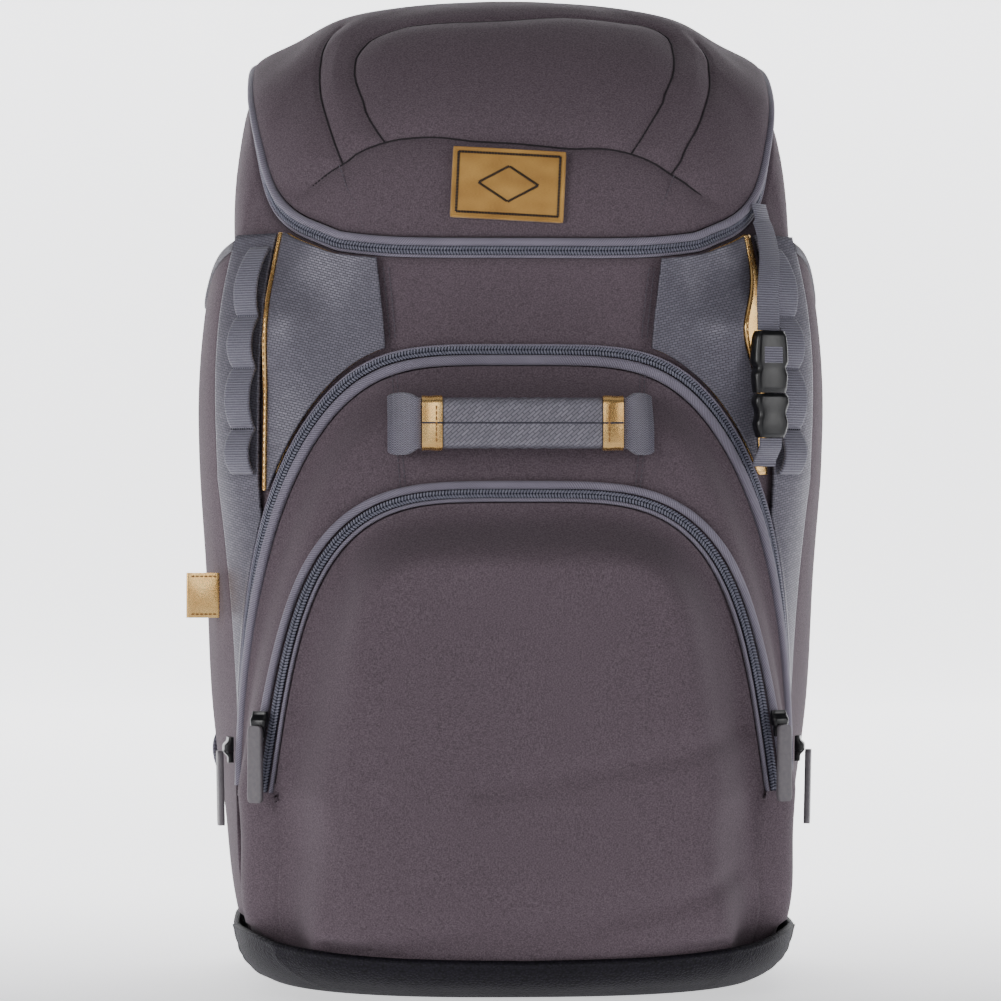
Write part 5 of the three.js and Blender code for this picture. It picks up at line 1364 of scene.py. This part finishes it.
def strap_line(share, side):
    height = SHOULDER_STRAP["top"] + (SHOULDER_STRAP["bottom"] - SHOULDER_STRAP["top"]) * share
    outwards = SHOULDER_STRAP["outside"] - SHOULDER_STRAP["inside"]
    across = SHOULDER_STRAP["inside"] + outwards * eased(share - 0.2, 0.8)
    pad_off = (BACK_PAD["thickness"] + 2 * CLEAR) * eased(share, 0.07)
    bow = SHOULDER_STRAP["bow"] * np.abs(np.sin(np.pi * share)) ** 0.8
    depth = back_face(height) + CLEAR + SHOULDER_STRAP["thickness"] / 2 + pad_off + bow
    return np.stack([side * across, depth, height], -1)


for name, side in SIDES:
    top_end, bottom_end = np.linspace(0, 0.16, 30)[:-1], np.linspace(0.9, 1, 14)[1:]
    shares = np.concatenate([top_end, np.linspace(0.16, 0.9, 70), bottom_end])
    points = strap_line(shares, side)
    ahead, behind = np.minimum(1, shares + 0.01), np.maximum(0, shares - 0.01)
    along = unit(strap_line(ahead, side) - strap_line(behind, side))
    across = unit(np.cross(np.array([0.0, 1.0, 0.0]), along))
    up = unit(np.cross(along, across))
    width = np.where(shares > 0.85, 1 - 0.25 * eased(shares - 0.85, 0.1), 1)
    section = rounded(SHOULDER_STRAP["width"], SHOULDER_STRAP["thickness"], 4, 5)
    shapes = section[None] * np.stack([width, np.ones(len(width))], -1)[:, None, :]
    strap = finished("padded_strap_" + name, rail(points, across, up, shapes), cloth,
                     ["shoulder_strap_" + name])

    end = strap_line(np.array([1.0]), side)[0]
    lock_low = end[2] - 2.4 * CLEAR - LADDER_LOCK["tall"]
    lock = bmesh.new()
    wide, tall, bar = LADDER_LOCK["width"], LADDER_LOCK["tall"], LADDER_LOCK["bar"]
    upright_at = wide / 2 - bar * 0.8
    for across, level, length, height in (
        (0, bar / 2, wide, bar),
        (0, tall / 2, wide - 2, bar),
        (0, tall - bar / 2, wide - 4, bar),
        (-upright_at, tall / 2, bar, tall),
        (upright_at, tall / 2, bar, tall),
    ):
        made = bmesh.ops.create_cube(lock, size=1)["verts"]
        bmesh.ops.scale(lock, vec=(length, LADDER_LOCK["thickness"], height), verts=made)
        bmesh.ops.translate(lock, vec=(end[0] + across, end[1], lock_low + level), verts=made)
    bmesh.ops.scale(lock, vec=(MILLIMETRE,) * 3, verts=lock.verts[:])
    bmesh.ops.bevel(lock, geom=lock.edges[:], offset=0.8 * MILLIMETRE, segments=2, profile=0.5,
                    affect="EDGES", material=-1)
    finished("lock_frame_" + name, lock, gloss_black, ["ladder_lock_" + name])

    anchor_round = np.array([side * float(LOWER_ANCHOR["round"])])
    anchor_height = np.array([float(LOWER_ANCHOR["height"])])
    anchor = lifted(anchor_round, anchor_height, SEAM)[0]
    out = outward(anchor_round, anchor_height)[0]
    upright = np.array([0.0, 0.0, 1.0])
    lock_foot = np.array([end[0], end[1], lock_low - CLEAR])
    route = line_through([
        lock_foot,
        lock_foot - upright * LOWER_HANG["fall"],
        lock_foot + np.array([side * LOWER_HANG["aside"], 0, -LOWER_HANG["low"]]),
        anchor + out * LOWER_HANG["bow"] + upright * LOWER_HANG["bowAbove"],
        anchor + out * LOWER_HANG["close"] + upright * LOWER_HANG["closeAbove"],
        anchor,
    ], 80)
    turning = eased(np.linspace(0, 1, 80), 0.8)[:, None]
    facing = unit(np.array([[0.0, 1.0, 0.0]]) * (1 - turning) + out * turning)
    strip = rail(route, *carried(route, facing), rounded(WEBBING, WEBBING_THICKNESS, 0.7, 2))
    finished("lower_webbing_" + name, strip, grosgrain, ["strap_webbing_" + name])

turn = np.linspace(0, math.pi, 60)
haul_base = back_face(np.array([HAUL_LOOP["height"] - HAUL_LOOP["width"] + 0.0]))[0] + SEAM
haul = np.stack([
    -HAUL_LOOP["half"] * np.cos(turn),
    haul_base + HAUL_LOOP["stand"] * np.sin(turn),
    np.full(60, float(HAUL_LOOP["height"])),
], -1)
haul_up = np.stack([np.cos(turn), -np.sin(turn), 0 * turn], -1)
haul_across = np.tile([0.0, 0.0, 1.0], (60, 1))
haul_rail = rail(haul, haul_across, haul_up, rounded(2 * HAUL_LOOP["width"], WEBBING_THICKNESS, 0.7, 2))
finished("haul_webbing", haul_rail, grosgrain, ["haul_loop"])

# Studio: the bag stands on a pale floor that curves up behind it and glows there, in soft light from large
# panels. The camera looks straight at it from two metres, a little from its left.
studio = Finish("pale_backdrop", Roughness=0.9, Emission_Strength=2.4)
studio_grain = studio.noise(studio.place(), 3, 2)
studio_tone = studio.tint(studio_grain, tone(240, 240, 242), tone(250, 250, 251))
behind = studio.between(studio.split(studio.place())[1], -0.5, 0.5)
studio_glow = studio.tint(behind, tone(84, 84, 86), tone(250, 250, 252))
studio.dress(Base_Color=studio_tone, Emission_Color=studio_glow)


def sweep(s, t):
    across = (s - 0.5) * 9000
    bend = np.clip((t - 0.55) / 0.15, 0, 1) * (math.pi / 2)
    back = -4000 + np.minimum(t, 0.55) / 0.55 * 6500 + 900 * np.sin(bend)
    height = 900 * (1 - np.cos(bend)) + np.maximum(t - 0.7, 0) / 0.3 * 3500
    return np.stack([across, back, height], -1), np.stack([across, back], -1)


backdrop = spread(8, 120, sweep)
backdrop.normal_update()
backdrop_mesh = bpy.data.meshes.new("backdrop")
backdrop.to_mesh(backdrop_mesh)
backdrop.free()
backdrop_mesh.polygons.foreach_set("use_smooth", [True] * len(backdrop_mesh.polygons))
backdrop_mesh.materials.append(studio.material)
backdrop_object = bpy.data.objects.new("backdrop", backdrop_mesh)
bpy.context.scene.collection.objects.link(backdrop_object)

world = bpy.data.worlds.new("studio")
world.use_nodes = True
world.node_tree.nodes["Background"].inputs["Color"].default_value = (0.9, 0.92, 1.0, 1.0)
world.node_tree.nodes["Background"].inputs["Strength"].default_value = 0.08
bpy.context.scene.world = world
for name, place, aim, size, power in (
    ("left_panel", (-1.5, -1.5, 0.6), (0, 0, 0.2), 0.9, 17),
    ("right_panel", (1.7, -1.1, 0.6), (0, 0, 0.2), 0.9, 9),
    ("top_panel", (0.0, -0.6, 2.2), (0, 0, 0.2), 1.6, 3),
    ("front_panel", (-0.3, -2.6, 0.7), (0, 0, 0.15), 0.8, 6),
    ("back_panel", (0.2, 1.8, 1.6), (0, 0, 0.3), 1.6, 8),
):
    lamp = bpy.data.lights.new(name, "AREA")
    lamp.size = size
    lamp.energy = power
    lamp_object = bpy.data.objects.new(name, lamp)
    way = np.array(aim, float) - np.array(place, float)
    level = math.atan2(math.hypot(way[0], way[1]), -way[2])
    lamp_object.location = place
    lamp_object.rotation_euler = (level, 0, math.atan2(-way[0], way[1]))
    bpy.context.scene.collection.objects.link(lamp_object)

camera = bpy.data.cameras.new("camera")
camera.sensor_width = 36
camera.lens = 136.99
camera.clip_start = 0.05
camera.clip_end = 50
camera_object = bpy.data.objects.new("camera", camera)
camera_object.location = (-0.0922, -2.0, 0.245)
camera_object.rotation_euler = (math.pi / 2, 0, -math.atan(0.0436))
bpy.context.scene.collection.objects.link(camera_object)
bpy.context.scene.camera = camera_object
